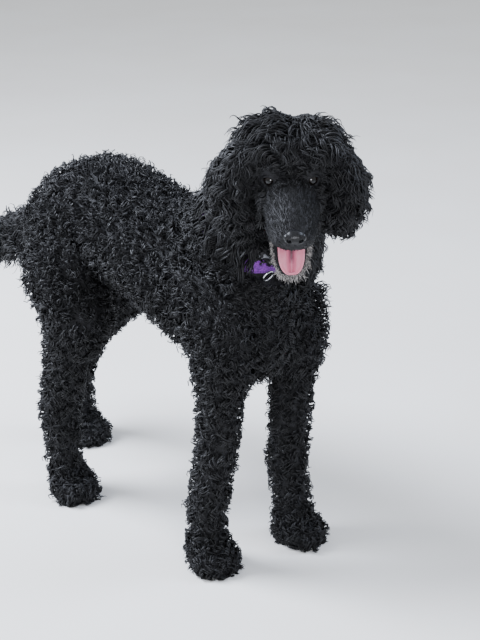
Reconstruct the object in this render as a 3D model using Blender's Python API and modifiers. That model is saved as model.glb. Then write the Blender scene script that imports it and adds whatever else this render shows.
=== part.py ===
# A standard poodle standing with its head turned to its right, as a still life-size model.
# Metres, +Z up. The dog faces -Y, and +X is its left. It is laid out on the point of the floor
# midway between its paws, and at the end it is moved so that its bounding box stands on the origin.
import math

import bmesh
import bpy
import numpy as np
from mathutils import Matrix, Vector
from mathutils.bvhtree import BVHTree

# Driving dimensions
HEAD_AT = Vector((-0.035, -0.315, 0.657))  # the point midway between the eyes
HEAD_TURN = math.radians(-43)  # from straight ahead towards the dog's right
HEAD_PITCH = math.radians(30)  # the muzzle points this far below level
MOUTH_OPEN = math.radians(33)
EYE_RADIUS = 0.0115
EYE_APART = 0.0556
NOSE_WIDTH = 0.031
COLLAR_WIDTH = 0.025
COLLAR_THICK = 0.0028
BAND_WIDTH = 0.008
BAND_THICK = 0.0022
CHANNEL_GAP = 0.0005  # between the neck and the inside of a band
COLLAR_DEPTH = 0.010  # how far out from the skin the collar lies
BAND_ABOVE = 0.004  # from the collar's upper edge to the second band
BAND_OUT = 0.003  # how much farther out the second band lies
LIP_ROLL = 0.0032  # radius of the upper lip's edge
JAW_ROLL = 0.0034
GAP = 0.0003  # between touching pieces

# The coat's depth over the skin, by region
BODY_COAT = 0.028
NECK_COAT = 0.027
LEG_COAT = 0.016
PAW_COAT = 0.013
TAIL_COAT = 0.034
CROWN_COAT = 0.027
EAR_COAT = 0.027
FACE_COAT = 0.003

# The coat in the solids: a core over the skin, and rounded clumps out to the tips
CORE_SHARE = 0.48
CLUMP_SINK = 0.006
CLUMP_SIDES = 6
LEAST_CLUMP = 0.004  # no clump where it would stand out less than this
BODY_VOXEL = 0.007
HEAD_VOXEL = 0.0038

X_AXIS = Vector((1, 0, 0))
Y_AXIS = Vector((0, 1, 0))
Z_AXIS = Vector((0, 0, 1))

for old in list(bpy.data.objects):
    bpy.data.objects.remove(old)
dog = bpy.data.collections.new("standard_poodle")
bpy.context.scene.collection.children.link(dog)


def material(name, colour, roughness, metallic=0.0):
    made = bpy.data.materials.new(name)
    made.use_nodes = True
    shader = made.node_tree.nodes["Principled BSDF"]
    shader.inputs["Base Color"].default_value = (*colour, 1)
    shader.inputs["Roughness"].default_value = roughness
    shader.inputs["Metallic"].default_value = metallic
    made.diffuse_color = (*colour, 1)
    return made


black_coat = material("black_coat", (0.018, 0.018, 0.020), 0.75)
grey_beard = material("grey_beard", (0.24, 0.22, 0.20), 0.8)
nose_leather = material("nose_leather", (0.010, 0.010, 0.011), 0.35)
eye_surface = material("eye_surface", (0.020, 0.010, 0.006), 0.08)
tongue_skin = material("tongue_skin", (0.62, 0.24, 0.28), 0.35)
purple_webbing = material("purple_webbing", (0.13, 0.03, 0.30), 0.6)
grey_band = material("grey_band", (0.30, 0.31, 0.32), 0.5)
ring_steel = material("ring_steel", (0.70, 0.70, 0.68), 0.25, 1.0)


def add(name, mesh, finish=None):
    made = bpy.data.objects.new(name, mesh)
    dog.objects.link(made)
    if finish:
        dress(made, finish)
    return made


def dress(obj, finish):
    obj.data.materials.clear()
    obj.data.materials.append(finish)
    return obj


def remove(obj):
    bpy.data.objects.remove(obj)


def finished(name, shape):
    # The closed shape as an object, with its faces pointing out.
    bmesh.ops.recalc_face_normals(shape, faces=shape.faces)
    if shape.calc_volume(signed=True) < 0:
        bmesh.ops.reverse_faces(shape, faces=shape.faces)
    mesh = bpy.data.meshes.new(name)
    shape.to_mesh(mesh)
    shape.free()
    return add(name, mesh)


def bake(obj):
    # The object's mesh as its modifiers leave it, in world space.
    bpy.context.view_layer.update()
    graph = bpy.context.evaluated_depsgraph_get()
    mesh = bpy.data.meshes.new_from_object(obj.evaluated_get(graph))
    mesh.transform(obj.matrix_world)
    obj.modifiers.clear()
    obj.data = mesh
    obj.matrix_world = Matrix.Identity(4)
    return obj


def boolean(obj, operation, others):
    # One Boolean of obj with a collection of closed meshes, applied. The others are then removed.
    tools = bpy.data.collections.new("tools")
    bpy.context.scene.collection.children.link(tools)
    for other in others:
        dog.objects.unlink(other)
        tools.objects.link(other)
    step = obj.modifiers.new(operation, "BOOLEAN")
    step.operation = operation
    step.solver = "MANIFOLD"
    step.operand_type = "COLLECTION"
    step.collection = tools
    bake(obj)
    for other in list(tools.objects):
        remove(other)
    bpy.data.collections.remove(tools)
    return obj


def keep_largest(obj):
    # Keeps the one closed surface of largest volume.
    shape = bmesh.new()
    shape.from_mesh(obj.data)
    unseen = set(shape.faces)
    shells = []
    for start in shape.faces:
        if start not in unseen:
            continue
        unseen.discard(start)
        shell = [start]
        for face in shell:
            for side in face.edges:
                for other in side.link_faces:
                    if other in unseen:
                        unseen.discard(other)
                        shell.append(other)
        volume = 0.0
        for face in shell:
            first, *ring = [vert.co for vert in face.verts]
            volume += sum(first.dot(a.cross(b)) for a, b in zip(ring, ring[1:]))
        shells.append((volume, shell))
    largest = max(volume for volume, _ in shells)
    for volume, shell in shells:
        if volume < largest:
            bmesh.ops.delete(shape, geom=shell, context="FACES")
    shape.to_mesh(obj.data)
    shape.free()
    return obj


def smooth_rows(rows, steps):
    # Catmull-Rom curve through rows of numbers, so that a few stations give a smooth loft.
    rows = np.array(rows, float)
    padded = np.vstack([2 * rows[0] - rows[1], rows, 2 * rows[-1] - rows[-2]])
    made = []
    for a, b, c, d in zip(padded, padded[1:], padded[2:], padded[3:]):
        for t in np.arange(steps) / steps:
            slope = (c - a) * t
            bend = (2 * a - 5 * b + 4 * c - d) * t * t
            twist = (3 * b - a - 3 * c + d) * t**3
            made.append(0.5 * (2 * b + slope + bend + twist))
    made.append(rows[-1])
    return np.array(made)


def skinned(name, rings):
    # A closed surface over a row of rings that have as many points each.
    shape = bmesh.new()
    rows = [[shape.verts.new(point) for point in ring] for ring in rings]
    for one, two in zip(rows, rows[1:]):
        for k in range(len(one)):
            n = (k + 1) % len(one)
            shape.faces.new((one[k], one[n], two[n], two[k]))
    shape.faces.new(rows[0][::-1])
    shape.faces.new(rows[-1])
    return finished(name, shape)


def loft(
    name, stations, side, up, share=0.0, grow=0.0, sides=20, steps=4, squareness=1.0, roof=0.0, keel=0.0
):
    # A closed tube through stations of (x, y, z, half side, half up, coat).
    # It is swollen by a share of the coat, and roof and keel narrow its top and bottom.
    rings = []
    for x, y, z, half_side, half_up, coat in smooth_rows(stations, steps):
        wide = max(half_side, 0.002) + share * coat + grow
        high = max(half_up, 0.002) + share * coat + grow
        ring = []
        for k in range(sides):
            turn = 2 * math.pi * k / sides
            c = math.copysign(abs(math.cos(turn)) ** squareness, math.cos(turn))
            s = math.copysign(abs(math.sin(turn)) ** squareness, math.sin(turn))
            c *= 1 - roof * max(s, 0) - keel * max(-s, 0)
            ring.append(Vector((x, y, z)) + side * (c * wide) + up * (s * high))
        rings.append(ring)
    return skinned(name, rings)


def tube(name, points, radii, sides=6):
    # A closed round tube along points, with a radius at each.
    points = [Vector(point) for point in points]
    ways = [b - a for a, b in zip(points, points[1:])]
    ways = [ways[0]] + [a.normalized() + b.normalized() for a, b in zip(ways, ways[1:])] + [ways[-1]]
    side = ways[0].orthogonal()
    rings = []
    for point, way, radius in zip(points, ways, radii):
        way = way.normalized()
        side = (side - way * side.dot(way)).normalized()
        up = way.cross(side)
        turns = [2 * math.pi * k / sides for k in range(sides)]
        rings.append([point + (side * math.cos(t) + up * math.sin(t)) * radius for t in turns])
    return skinned(name, rings)


def hoop(name, centre, side, up, half_side, half_up, radius, around=16, sides=6):
    # A closed elliptical ring of round wire.
    shape = bmesh.new()
    axis = side.cross(up).normalized()
    rows = []
    for k in range(around):
        turn = 2 * math.pi * k / around
        out = (side * (math.cos(turn) / half_side) + up * (math.sin(turn) / half_up)).normalized()
        middle = centre + side * (math.cos(turn) * half_side) + up * (math.sin(turn) * half_up)
        turns = [2 * math.pi * j / sides for j in range(sides)]
        rows.append(
            [shape.verts.new(middle + (out * math.cos(t) + axis * math.sin(t)) * radius) for t in turns]
        )
    for k in range(around):
        one, two = rows[k], rows[(k + 1) % around]
        for j in range(sides):
            n = (j + 1) % sides
            shape.faces.new((one[j], one[n], two[n], two[j]))
    return finished(name, shape)


def ball(name, centre, axes, radii, rings=8, around=12):
    # An ellipsoid with its three half sizes along three axes.
    shape = bmesh.new()
    bmesh.ops.create_uvsphere(shape, u_segments=around, v_segments=rings, radius=1)
    turned = [axis * radius for axis, radius in zip(axes, radii)]
    for vert in shape.verts:
        vert.co = centre + sum((a * c for a, c in zip(turned, vert.co)), Vector())
    return finished(name, shape)


def join(name, pieces):
    # Several meshes as one object, still overlapping.
    shape = bmesh.new()
    for piece in pieces:
        shape.from_mesh(piece.data)
        remove(piece)
    mesh = bpy.data.meshes.new(name)
    shape.to_mesh(mesh)
    shape.free()
    return add(name, mesh)


def fuse(obj, voxel, triangles, softness=4):
    # Overlapping forms become one soft surface of about so many triangles.
    step = obj.modifiers.new("Fuse", "REMESH")
    step.mode = "VOXEL"
    step.voxel_size = voxel
    step = obj.modifiers.new("Soften", "SMOOTH")
    step.factor = 0.5
    step.iterations = softness
    bake(obj)
    keep_largest(obj)
    step = obj.modifiers.new("Coarsen", "DECIMATE")
    step.ratio = triangles / (2 * len(obj.data.polygons))
    bake(obj)
    obj.modifiers.new("Split", "TRIANGULATE")
    return bake(obj)


def block(name, low, high, tilt=0.0):
    # A box whose top is at high where x is zero and rises by the tilt on both sides.
    shape = bmesh.new()
    bmesh.ops.create_cube(shape, size=1)
    for vert in shape.verts:
        place = [low[i] if vert.co[i] < 0 else high[i] for i in range(3)]
        if vert.co.z > 0:
            place[2] += tilt * abs(place[0])
        vert.co = place
    return finished(name, shape)


def slab(name, point, normal, thick, reach=0.6):
    # A wide slab that stands on a plane and is so thick along the plane's normal.
    shape = bmesh.new()
    bmesh.ops.create_cube(shape, size=2)
    turn = Z_AXIS.rotation_difference(Vector(normal).normalized())
    for vert in shape.verts:
        flat = Vector((vert.co.x * reach, vert.co.y * reach, (vert.co.z + 1) / 2 * thick))
        vert.co = Vector(point) + turn @ flat
    return finished(name, shape)


def copy_of(obj, name):
    return add(name, obj.data.copy())


def grown(obj, by=GAP):
    # A copy of obj swollen a little, to cut clearance with.
    made = copy_of(obj, obj.name + "_grown")
    step = made.modifiers.new("Grow", "DISPLACE")
    step.mid_level = 0.0
    step.strength = by
    return bake(made)


def clear_of(obj, others):
    # Cuts obj clear of its neighbours, and keeps its one largest surface.
    cutters = [copy_of(other, "cutter") for other in others]
    boolean(obj, "DIFFERENCE", cutters + [grown(other) for other in others])
    return keep_largest(obj)


def part_off(whole, name, region):
    # The part of whole inside region becomes a node, and whole keeps the rest, a gap away.
    # A box's corners move along their diagonals, so its faces move by the root of a third of that.
    piece = copy_of(whole, name)
    boolean(piece, "INTERSECT", [copy_of(region, "region")])
    keep_largest(piece)
    boolean(whole, "DIFFERENCE", [grown(region, GAP * math.sqrt(3))])
    remove(region)
    return dress(piece, black_coat)


def clump(foot, normal, lie, radius, height, skin, rng):
    # One rounded tuft of curls that hugs the skin round its foot, with its root sunk in.
    side = normal.orthogonal().normalized()
    side.rotate(Matrix.Rotation(rng.uniform(0, 2 * math.pi), 3, normal))
    across = normal.cross(side)
    lean = (lie - normal * lie.dot(normal)) * height
    shape = bmesh.new()
    rings = []
    for rise, width, slide in ((-CLUMP_SINK, 1.0, 0.0), (0.70 * height, 0.64, 0.25)):
        ring = []
        for k in range(CLUMP_SIDES):
            turn = 2 * math.pi * (k + rng.uniform(-0.1, 0.1)) / CLUMP_SIDES
            reach = radius * width * rng.uniform(0.9, 1.1)
            flat = side * math.cos(turn) * reach + across * math.sin(turn) * reach
            under, out, _, _ = skin.find_nearest(foot + flat)
            ring.append(shape.verts.new(under + out * rise + lean * slide))
        rings.append(ring)
    top = shape.verts.new(foot + normal * height + lean * 0.5)
    root, crest = rings
    for k in range(CLUMP_SIDES):
        n = (k + 1) % CLUMP_SIDES
        shape.faces.new((root[k], root[n], crest[n], crest[k]))
        shape.faces.new((crest[k], crest[n], top))
    shape.faces.new(root[::-1])
    return finished("clump", shape)


def tree_of(obj):
    shape = bmesh.new()
    shape.from_mesh(obj.data)
    tree = BVHTree.FromBMesh(shape)
    shape.free()
    return tree


def surface_points(obj, count, rng):
    # Random points spread evenly over a triangulated surface, with their normals.
    mesh = obj.data
    corners = np.array([[mesh.vertices[i].co for i in face.vertices] for face in mesh.polygons])
    cross = np.cross(corners[:, 1] - corners[:, 0], corners[:, 2] - corners[:, 0])
    areas = np.linalg.norm(cross, axis=1)
    chosen = rng.choice(len(areas), count, p=areas / areas.sum())
    mix = np.sqrt(rng.random((count, 1)))
    blend = rng.random((count, 1))
    a, b, c = corners[chosen, 0], corners[chosen, 1], corners[chosen, 2]
    places = a * (1 - mix) + b * mix * (1 - blend) + c * mix * blend
    smooth = np.array([vert.normal for vert in mesh.vertices])
    index = np.array([list(face.vertices) for face in mesh.polygons])[chosen]
    normals = smooth[index].sum(axis=1)
    normals /= np.linalg.norm(normals, axis=1, keepdims=True)
    return places, normals


def clothe(core, outer, spacing_at, lie_at, seed, voxel, triangles):
    # Sets rounded clumps close over a core, out to the outer surface, and fuses them with it.
    rng = np.random.default_rng(seed)
    skin, tips = tree_of(core), tree_of(outer)
    feet = []
    clumps = []
    for place, normal in zip(*surface_points(core, 9000, rng)):
        spacing = spacing_at(place)
        if not spacing:
            continue
        if feet and np.min(np.linalg.norm(np.array(feet) - place, axis=1)) < spacing:
            continue
        foot, normal = Vector(place), Vector(normal)
        hit, _, _, depth = tips.ray_cast(foot, normal, 0.06)
        if hit is None:
            _, _, _, depth = tips.find_nearest(foot)
        if depth < LEAST_CLUMP:
            continue
        feet.append(place)
        radius = spacing * rng.uniform(0.66, 0.80)
        height = min(depth, 0.03) * rng.uniform(1.25, 1.6)
        clumps.append(clump(foot, normal, lie_at(foot), radius, height, skin, rng))
    remove(outer)
    boolean(core, "UNION", clumps)
    keep_largest(core)
    return fuse(core, voxel, triangles, 1)


# Places in the head, from HEAD_AT: forward, left and up

flat_forward = Vector((math.sin(HEAD_TURN), -math.cos(HEAD_TURN), 0))
leftward = Z_AXIS.cross(flat_forward)
forward = flat_forward * math.cos(HEAD_PITCH) - Z_AXIS * math.sin(HEAD_PITCH)
upward = forward.cross(leftward)
jaw_forward = forward * math.cos(MOUTH_OPEN) - upward * math.sin(MOUTH_OPEN)
jaw_up = upward * math.cos(MOUTH_OPEN) + forward * math.sin(MOUTH_OPEN)


def in_head(along, left, up):
    return HEAD_AT + forward * along + leftward * left + upward * up


JAW_HINGE = in_head(-0.035, 0, -0.050)


def in_jaw(along, left, up):
    return JAW_HINGE + jaw_forward * along + leftward * left + jaw_up * up


def stations_of(rows, place_at):
    # Rows of (along, top, bottom, half width, coat) as loft stations.
    made = []
    for along, top, bottom, half_width, coat in rows:
        place = place_at(along, 0, (top + bottom) / 2)
        made.append((*place, half_width, (top - bottom) / 2, coat))
    return made


def trunk_place(along, left, up):
    return Vector((left, along, up))


# Stations of the trunk: y, top, bottom, half width, coat
TRUNK = [
    (-0.272, 0.446, 0.385, 0.020, 0.020),
    (-0.250, 0.474, 0.342, 0.054, BODY_COAT),
    (-0.205, 0.499, 0.330, 0.076, BODY_COAT),
    (-0.140, 0.513, 0.338, 0.086, BODY_COAT),
    (-0.060, 0.528, 0.370, 0.092, BODY_COAT),
    (0.010, 0.543, 0.402, 0.089, BODY_COAT),
    (0.075, 0.563, 0.416, 0.082, BODY_COAT),
    (0.135, 0.571, 0.415, 0.082, BODY_COAT),
    (0.190, 0.554, 0.408, 0.085, BODY_COAT),
    (0.232, 0.534, 0.405, 0.074, BODY_COAT),
    (0.256, 0.490, 0.420, 0.040, 0.024),
]

# Stations of the neck: place, half width, half depth, coat
NECK_AXIS = Vector((0.0, -0.42, 0.91)).normalized()
NECK = [
    (0.009, -0.120, 0.430, 0.077, 0.085, BODY_COAT),
    (0.022, -0.165, 0.510, 0.078, 0.078, BODY_COAT),
    (0.036, -0.200, 0.575, 0.078, 0.062, NECK_COAT),
    (0.044, -0.228, 0.632, 0.068, 0.056, NECK_COAT),
    (0.040, -0.246, 0.675, 0.049, 0.046, 0.018),
]

COLLAR_AT = Vector((0, -0.206, 0.526))
COLLAR_AXIS = Vector((0, -0.58, 0.81)).normalized()
RING_AT = Vector((-0.019, -0.2563, 0.4933))  # the leash ring lies against the front of the collar
RING_FACES = Vector((-0.30, -0.85, -0.43)).normalized()
RING_RADIUS = 0.0090
RING_WIRE = 0.0014

TAIL_AXIS = Vector((0, 0.91, -0.42)).normalized()
TAIL = [
    (0.000, 0.205, 0.486, 0.026, 0.026, 0.014),
    (0.000, 0.262, 0.456, 0.020, 0.021, 0.018),
    (0.000, 0.315, 0.428, 0.016, 0.018, 0.030),
    (-0.004, 0.370, 0.407, 0.012, 0.014, TAIL_COAT),
    (-0.010, 0.430, 0.384, 0.009, 0.010, 0.030),
    (-0.016, 0.475, 0.370, 0.006, 0.006, 0.016),
]

# Along the head: forward, top, bottom, half width, coat
SKULL = [
    (-0.104, 0.010, -0.024, 0.022, 0.020),
    (-0.092, 0.022, -0.040, 0.040, CROWN_COAT),
    (-0.066, 0.030, -0.053, 0.051, CROWN_COAT),
    (-0.036, 0.031, -0.055, 0.054, CROWN_COAT),
    (-0.014, 0.030, -0.052, 0.051, 0.018),
    (0.000, 0.022, -0.047, 0.039, 0.006),
    (0.010, 0.010, -0.040, 0.028, FACE_COAT),
]
MUZZLE = [
    (-0.030, 0.010, -0.050, 0.046, FACE_COAT),
    (0.000, 0.012, -0.047, 0.045, FACE_COAT),
    (0.030, 0.009, -0.043, 0.0395, FACE_COAT),
    (0.065, 0.005, -0.039, 0.0330, FACE_COAT),
    (0.092, 0.002, -0.035, 0.0270, FACE_COAT),
    (0.106, -0.003, -0.031, 0.0225, FACE_COAT),
    (0.113, -0.009, -0.026, 0.0125, 0.002),
]

# Along the lower jaw: from the hinge, top, bottom, half width, coat
JAW = [
    (0.000, 0.004, -0.020, 0.036, 0.004),
    (0.038, 0.003, -0.022, 0.034, 0.004),
    (0.071, 0.002, -0.020, 0.0295, 0.004),
    (0.099, 0.002, -0.017, 0.0255, 0.004),
    (0.118, 0.002, -0.015, 0.0205, 0.004),
    (0.131, -0.001, -0.012, 0.0120, 0.003),
]
TONGUE = [
    (0.044, 0.0150, 0.0075, 0.0150, 0),
    (0.071, 0.0160, 0.0070, 0.0180, 0),
    (0.098, 0.0145, 0.0066, 0.0185, 0),
    (0.118, 0.0125, 0.0066, 0.0165, 0),
    (0.129, 0.0110, 0.0066, 0.0120, 0),
    (0.133, 0.0098, 0.0070, 0.0065, 0),
]

# Each ear from its root down to its tip: ahead, out and up from HEAD_AT on level axes,
# with half width, half thickness and coat
EAR = [
    (-0.030, 0.046, 0.045, 0.016, 0.010, 0.014),
    (-0.036, 0.070, 0.026, 0.023, 0.007, 0.024),
    (-0.042, 0.083, -0.004, 0.027, 0.005, 0.030),
    (-0.045, 0.085, -0.036, 0.031, 0.005, 0.030),
    (-0.044, 0.080, -0.064, 0.029, 0.005, EAR_COAT),
    (-0.040, 0.073, -0.088, 0.018, 0.004, 0.020),
]


# How far each ear hangs nearer the head than the stations say, and its share of their drop
EARS = {"right": dict(side=-1, inset=0.0, drop=1.0), "left": dict(side=1, inset=0.001, drop=0.98)}


def foreleg_rows(side, elbow, wrist, paw):
    # Stations from the shoulder blade down to the fetlock of one foreleg.
    x = side * 0.075
    return [
        (side * 0.054, -0.150, 0.490, 0.034, 0.050, BODY_COAT),
        (side * 0.067, -0.200, 0.430, 0.032, 0.050, BODY_COAT),
        (x, elbow - 0.007, 0.350, 0.030, 0.034, 0.020),
        (x, elbow, 0.295, 0.024, 0.024, LEG_COAT),
        (x, (elbow + wrist) / 2, 0.220, 0.021, 0.021, LEG_COAT),
        (paw[0], wrist, 0.125, 0.019, 0.019, LEG_COAT),
        (paw[0], paw[1] + 0.008, 0.075, 0.018, 0.018, LEG_COAT),
        (paw[0], paw[1] + 0.004, 0.030, 0.022, 0.025, PAW_COAT),
    ]


def hindleg_rows(side, stifle, hock, paw):
    # Stations from the hip down to the fetlock of one hind leg.
    shank = [(a + b) / 2 for a, b in zip(stifle, hock)]
    return [
        (side * 0.045, 0.168, 0.505, 0.034, 0.050, BODY_COAT),
        (side * 0.064, 0.152, 0.455, 0.044, 0.056, BODY_COAT),
        (side * 0.078, stifle[1] + 0.033, 0.390, 0.040, 0.060, 0.026),
        (*stifle, 0.033, 0.048, 0.022),
        (*shank, 0.024, 0.031, 0.019),
        (*hock, 0.018, 0.023, 0.018),
        (hock[0], hock[1] - 0.006, hock[2] - 0.050, 0.017, 0.019, 0.017),
        (paw[0], paw[1] + 0.018, 0.062, 0.017, 0.019, 0.017),
        (paw[0], paw[1] + 0.008, 0.028, 0.021, 0.026, PAW_COAT),
    ]


def paw_rows(paw, turn):
    # Stations along one paw from heel to toes, low and broad.
    ahead = Vector((math.sin(turn), -math.cos(turn), 0))
    made = []
    for along, half_width, half_height, centre in (
        (-0.031, 0.018, 0.015, 0.022),
        (-0.012, 0.028, 0.021, 0.024),
        (0.012, 0.032, 0.018, 0.020),
        (0.032, 0.028, 0.014, 0.015),
        (0.044, 0.016, 0.009, 0.011),
    ):
        place = Vector((*paw, centre)) + ahead * along
        made.append((*place, half_width, half_height, PAW_COAT))
    return made, ahead


FORELEGS = {
    "right": dict(side=-1, elbow=-0.211, wrist=-0.198, paw=(-0.087, -0.200)),
    "left": dict(side=1, elbow=-0.223, wrist=-0.219, paw=(0.070, -0.240)),
}
HINDLEGS = {
    "right": dict(side=-1, stifle=(-0.086, 0.116, 0.330), hock=(-0.090, 0.168, 0.158), paw=(-0.090, 0.142)),
    "left": dict(side=1, stifle=(0.078, 0.176, 0.335), hock=(0.072, 0.326, 0.158), paw=(0.070, 0.299)),
}
FOREPAW_TURN = {"right": math.radians(-14), "left": math.radians(14)}
HINDPAW_TURN = {"right": math.radians(-16), "left": math.radians(-6)}
CUT_X = {"right": (-0.5, -0.001), "left": (0.001, 0.5)}


def body_form(name, share, triangles):
    # Trunk, neck, tail and legs as one surface, with a share of the coat.
    trunk = stations_of(TRUNK, trunk_place)
    pieces = [
        loft("trunk", trunk, X_AXIS, Z_AXIS, share, keel=0.25),
        loft("neck", NECK, X_AXIS, NECK_AXIS.cross(X_AXIS), share),
        loft("tail", TAIL, X_AXIS, TAIL_AXIS.cross(X_AXIS), share),
    ]
    for legs, rows_of, turns in (
        (FORELEGS, foreleg_rows, FOREPAW_TURN),
        (HINDLEGS, hindleg_rows, HINDPAW_TURN),
    ):
        for word, leg in legs.items():
            pieces.append(loft("leg", rows_of(**leg), X_AXIS, Y_AXIS, share))
            rows, ahead = paw_rows(leg["paw"], turns[word])
            pieces.append(loft("paw", rows, Z_AXIS.cross(ahead), Z_AXIS, share))
    return fuse(join(name, pieces), BODY_VOXEL, triangles)


def head_form(name, share, triangles):
    # Skull and upper muzzle with the top of the neck, with a share of the crown's coat.
    pieces = [
        loft("skull", stations_of(SKULL, in_head), leftward, upward, share, squareness=0.8),
        loft("muzzle", stations_of(MUZZLE, in_head), leftward, upward, 1.0, squareness=0.8, roof=0.45),
        loft("nape", NECK[2:], X_AXIS, NECK_AXIS.cross(X_AXIS), share),
    ]
    return fuse(join(name, pieces), HEAD_VOXEL, triangles)


def ear_rows(side, inset, drop):
    made = []
    for ahead, out, up, half_width, half_thick, coat in EAR:
        place = HEAD_AT + flat_forward * ahead + leftward * (side * (out - inset)) + Z_AXIS * (up * drop)
        made.append((*place, half_thick, half_width, coat))
    return made


def body_spacing(place):
    _, y, z = place
    if z < 0.07:
        return 0.034
    if z < 0.32:
        return 0.040
    if y > 0.28:
        return 0.042
    return 0.052


def body_lie(place):
    # The coat lies back along the trunk and down the legs.
    return Vector((0, 0.5, -0.8)) if place.z > 0.35 else Vector((0, 0.2, -1))


def head_spacing(place):
    local = Vector(place) - HEAD_AT
    if local.dot(forward) > 0.002 or local.dot(upward) < -0.045:
        return 0
    if abs(local.dot(leftward)) < 0.012 and local.dot(upward) > 0.020:
        return 0
    return 0.040


def head_lie(place):
    # The topknot falls to both sides of a parting.
    side = (place - HEAD_AT).dot(leftward)
    return leftward * math.copysign(0.6, side) - Z_AXIS * 0.5


core = body_form("torso", CORE_SHARE, 1900)
body = clothe(core, body_form("tips", 1.0, 6000), body_spacing, body_lie, 11, 0.0055, 6600)
head_core = head_form("head", CORE_SHARE, 1200)
head = clothe(head_core, head_form("tips", 1.0, 4000), head_spacing, head_lie, 5, 0.0034, 1500)

# The head keeps its stub of neck above one plane, and the neck ends below it
HEAD_CUT = Vector((0.033, -0.232, 0.632))
boolean(body, "DIFFERENCE", [slab("above", HEAD_CUT - NECK_AXIS * GAP, NECK_AXIS, 0.6)])
boolean(head, "DIFFERENCE", [slab("below", HEAD_CUT, -NECK_AXIS, 0.6)])
keep_largest(head)
keep_largest(body)


def eye_axis(side):
    return (forward * 0.80 + leftward * (side * 0.42) + upward * 0.30).normalized()


def eye_centre(side):
    return in_head(0, side * EYE_APART / 2, 0)


def add_eyes():
    # Each eyeball sits in a socket, behind an almond opening between two rolled lids.
    lids, openings = [], []
    for side in (-1, 1):
        axis, centre = eye_axis(side), eye_centre(side)
        across = (leftward - axis * leftward.dot(axis)).normalized()
        rise = axis.cross(across)
        lids.append(hoop("lids", centre + axis * 0.0072, across, rise, 0.0115, 0.0082, 0.0027, 14, 5))
        axes = (across, rise, axis)
        openings.append(ball("opening", centre + axis * 0.016, axes, (0.0095, 0.0062, 0.012)))
        openings.append(ball("socket", centre, axes, [EYE_RADIUS + GAP] * 3))
        word = "left" if side > 0 else "right"
        ball("eye_" + word, centre, axes, [EYE_RADIUS - GAP] * 3, 9, 12)
        dress(dog.objects["eye_" + word], eye_surface)
    boolean(head, "UNION", lids)
    boolean(head, "DIFFERENCE", openings)


def add_nose():
    # The nose leather, with two nostrils that open to the sides, and the groove below them.
    rows = [
        (0.098, 0.005, -0.013, NOSE_WIDTH * 0.40, 0),
        (0.106, 0.0070, -0.0155, NOSE_WIDTH * 0.50, 0),
        (0.113, 0.0060, -0.0155, NOSE_WIDTH * 0.50, 0),
        (0.118, 0.001, -0.012, NOSE_WIDTH * 0.38, 0),
        (0.120, -0.002, -0.009, NOSE_WIDTH * 0.24, 0),
    ]
    nose = loft("nose", stations_of(rows, in_head), leftward, upward, sides=12, steps=2, squareness=0.9)
    axes = (forward, leftward, upward)
    cuts = [ball("groove", in_head(0.119, 0, -0.013), axes, (0.004, 0.0008, 0.009), 6, 8)]
    for side in (-1, 1):
        cuts.append(
            ball("nostril", in_head(0.118, side * 0.0068, -0.0040), axes, (0.0075, 0.0034, 0.0032), 6, 8)
        )
        cuts.append(
            ball("slit", in_head(0.114, side * 0.0128, -0.0075), axes, (0.0050, 0.0052, 0.0016), 5, 7)
        )
    boolean(nose, "DIFFERENCE", cuts)
    keep_largest(nose)
    boolean(head, "DIFFERENCE", [grown(nose)])
    return dress(nose, nose_leather)


def add_lips():
    # A soft roll along the edge of the upper lip, from one corner of the mouth round to the other.
    edge = [(0.012, 0.0400, -0.0460), (0.040, 0.0375, -0.0425), (0.066, 0.0330, -0.0390),
            (0.090, 0.0260, -0.0355), (0.103, 0.0180, -0.0325), (0.110, 0.0085, -0.0300)]
    half = smooth_rows(edge, 2)
    points = [in_head(a, l, u) for a, l, u in half]
    points += [in_head(a, -l, u) for a, l, u in half[::-1]]
    return tube("lip", points, [LIP_ROLL] * len(points), 6)


def add_jaw():
    # The open lower jaw with its rolled lip.
    rows = stations_of(JAW, in_jaw)
    jaw = loft("lower_jaw", rows, leftward, jaw_up, 1.0, sides=16, steps=2, squareness=0.8)
    edge = [(0.033, 0.0350, 0.004), (0.066, 0.0305, 0.004), (0.093, 0.0265, 0.0045),
            (0.114, 0.0200, 0.005), (0.127, 0.0110, 0.005), (0.1315, 0.0, 0.005)]
    half = smooth_rows(edge, 2)
    points = [in_jaw(*row) for row in half]
    points += [in_jaw(a, -l, u) for a, l, u in half[-2::-1]]
    boolean(jaw, "UNION", [tube("lip", points, [JAW_ROLL] * len(points), 6)])
    return dress(jaw, grey_beard)


def add_tongue():
    rows = stations_of(TONGUE, in_jaw)
    tongue = loft("tongue", rows, leftward, jaw_up, sides=12, steps=2, squareness=0.85)
    groove = [in_jaw(a, 0, t + 0.0008) for a, t, _, _, _ in TONGUE]
    boolean(tongue, "DIFFERENCE", [tube("groove", groove, [0.0020] * len(groove), 6)])
    keep_largest(tongue)
    return dress(tongue, tongue_skin)


def ear_spacing(place):
    return 0.040


def ear_lie(place):
    return Vector((0, 0, -1))


def add_ear(word):
    # A hanging ear: leather with its hair, hollow on the side that faces the cheek.
    side, inset = EARS[word]["side"], EARS[word]["inset"]
    rows = ear_rows(**EARS[word])
    core = loft("ear_" + word, rows, leftward, flat_forward, CORE_SHARE, sides=12, steps=2)
    core.modifiers.new("Split", "TRIANGULATE")
    bake(core)
    outer = loft("tips", rows, leftward, flat_forward, 1.0, sides=12, steps=2)
    ear = clothe(core, outer, ear_spacing, ear_lie, 21 + side, 0.0045, 420)
    cup = HEAD_AT + flat_forward * -0.040 + leftward * (side * (0.066 - inset)) - Z_AXIS * 0.050
    hollow = ball("cup", cup, (leftward, flat_forward, Z_AXIS), (0.012, 0.020, 0.034), 8, 12)
    boolean(ear, "DIFFERENCE", [hollow])
    clear_of(ear, [head])
    return dress(ear, black_coat)


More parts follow.
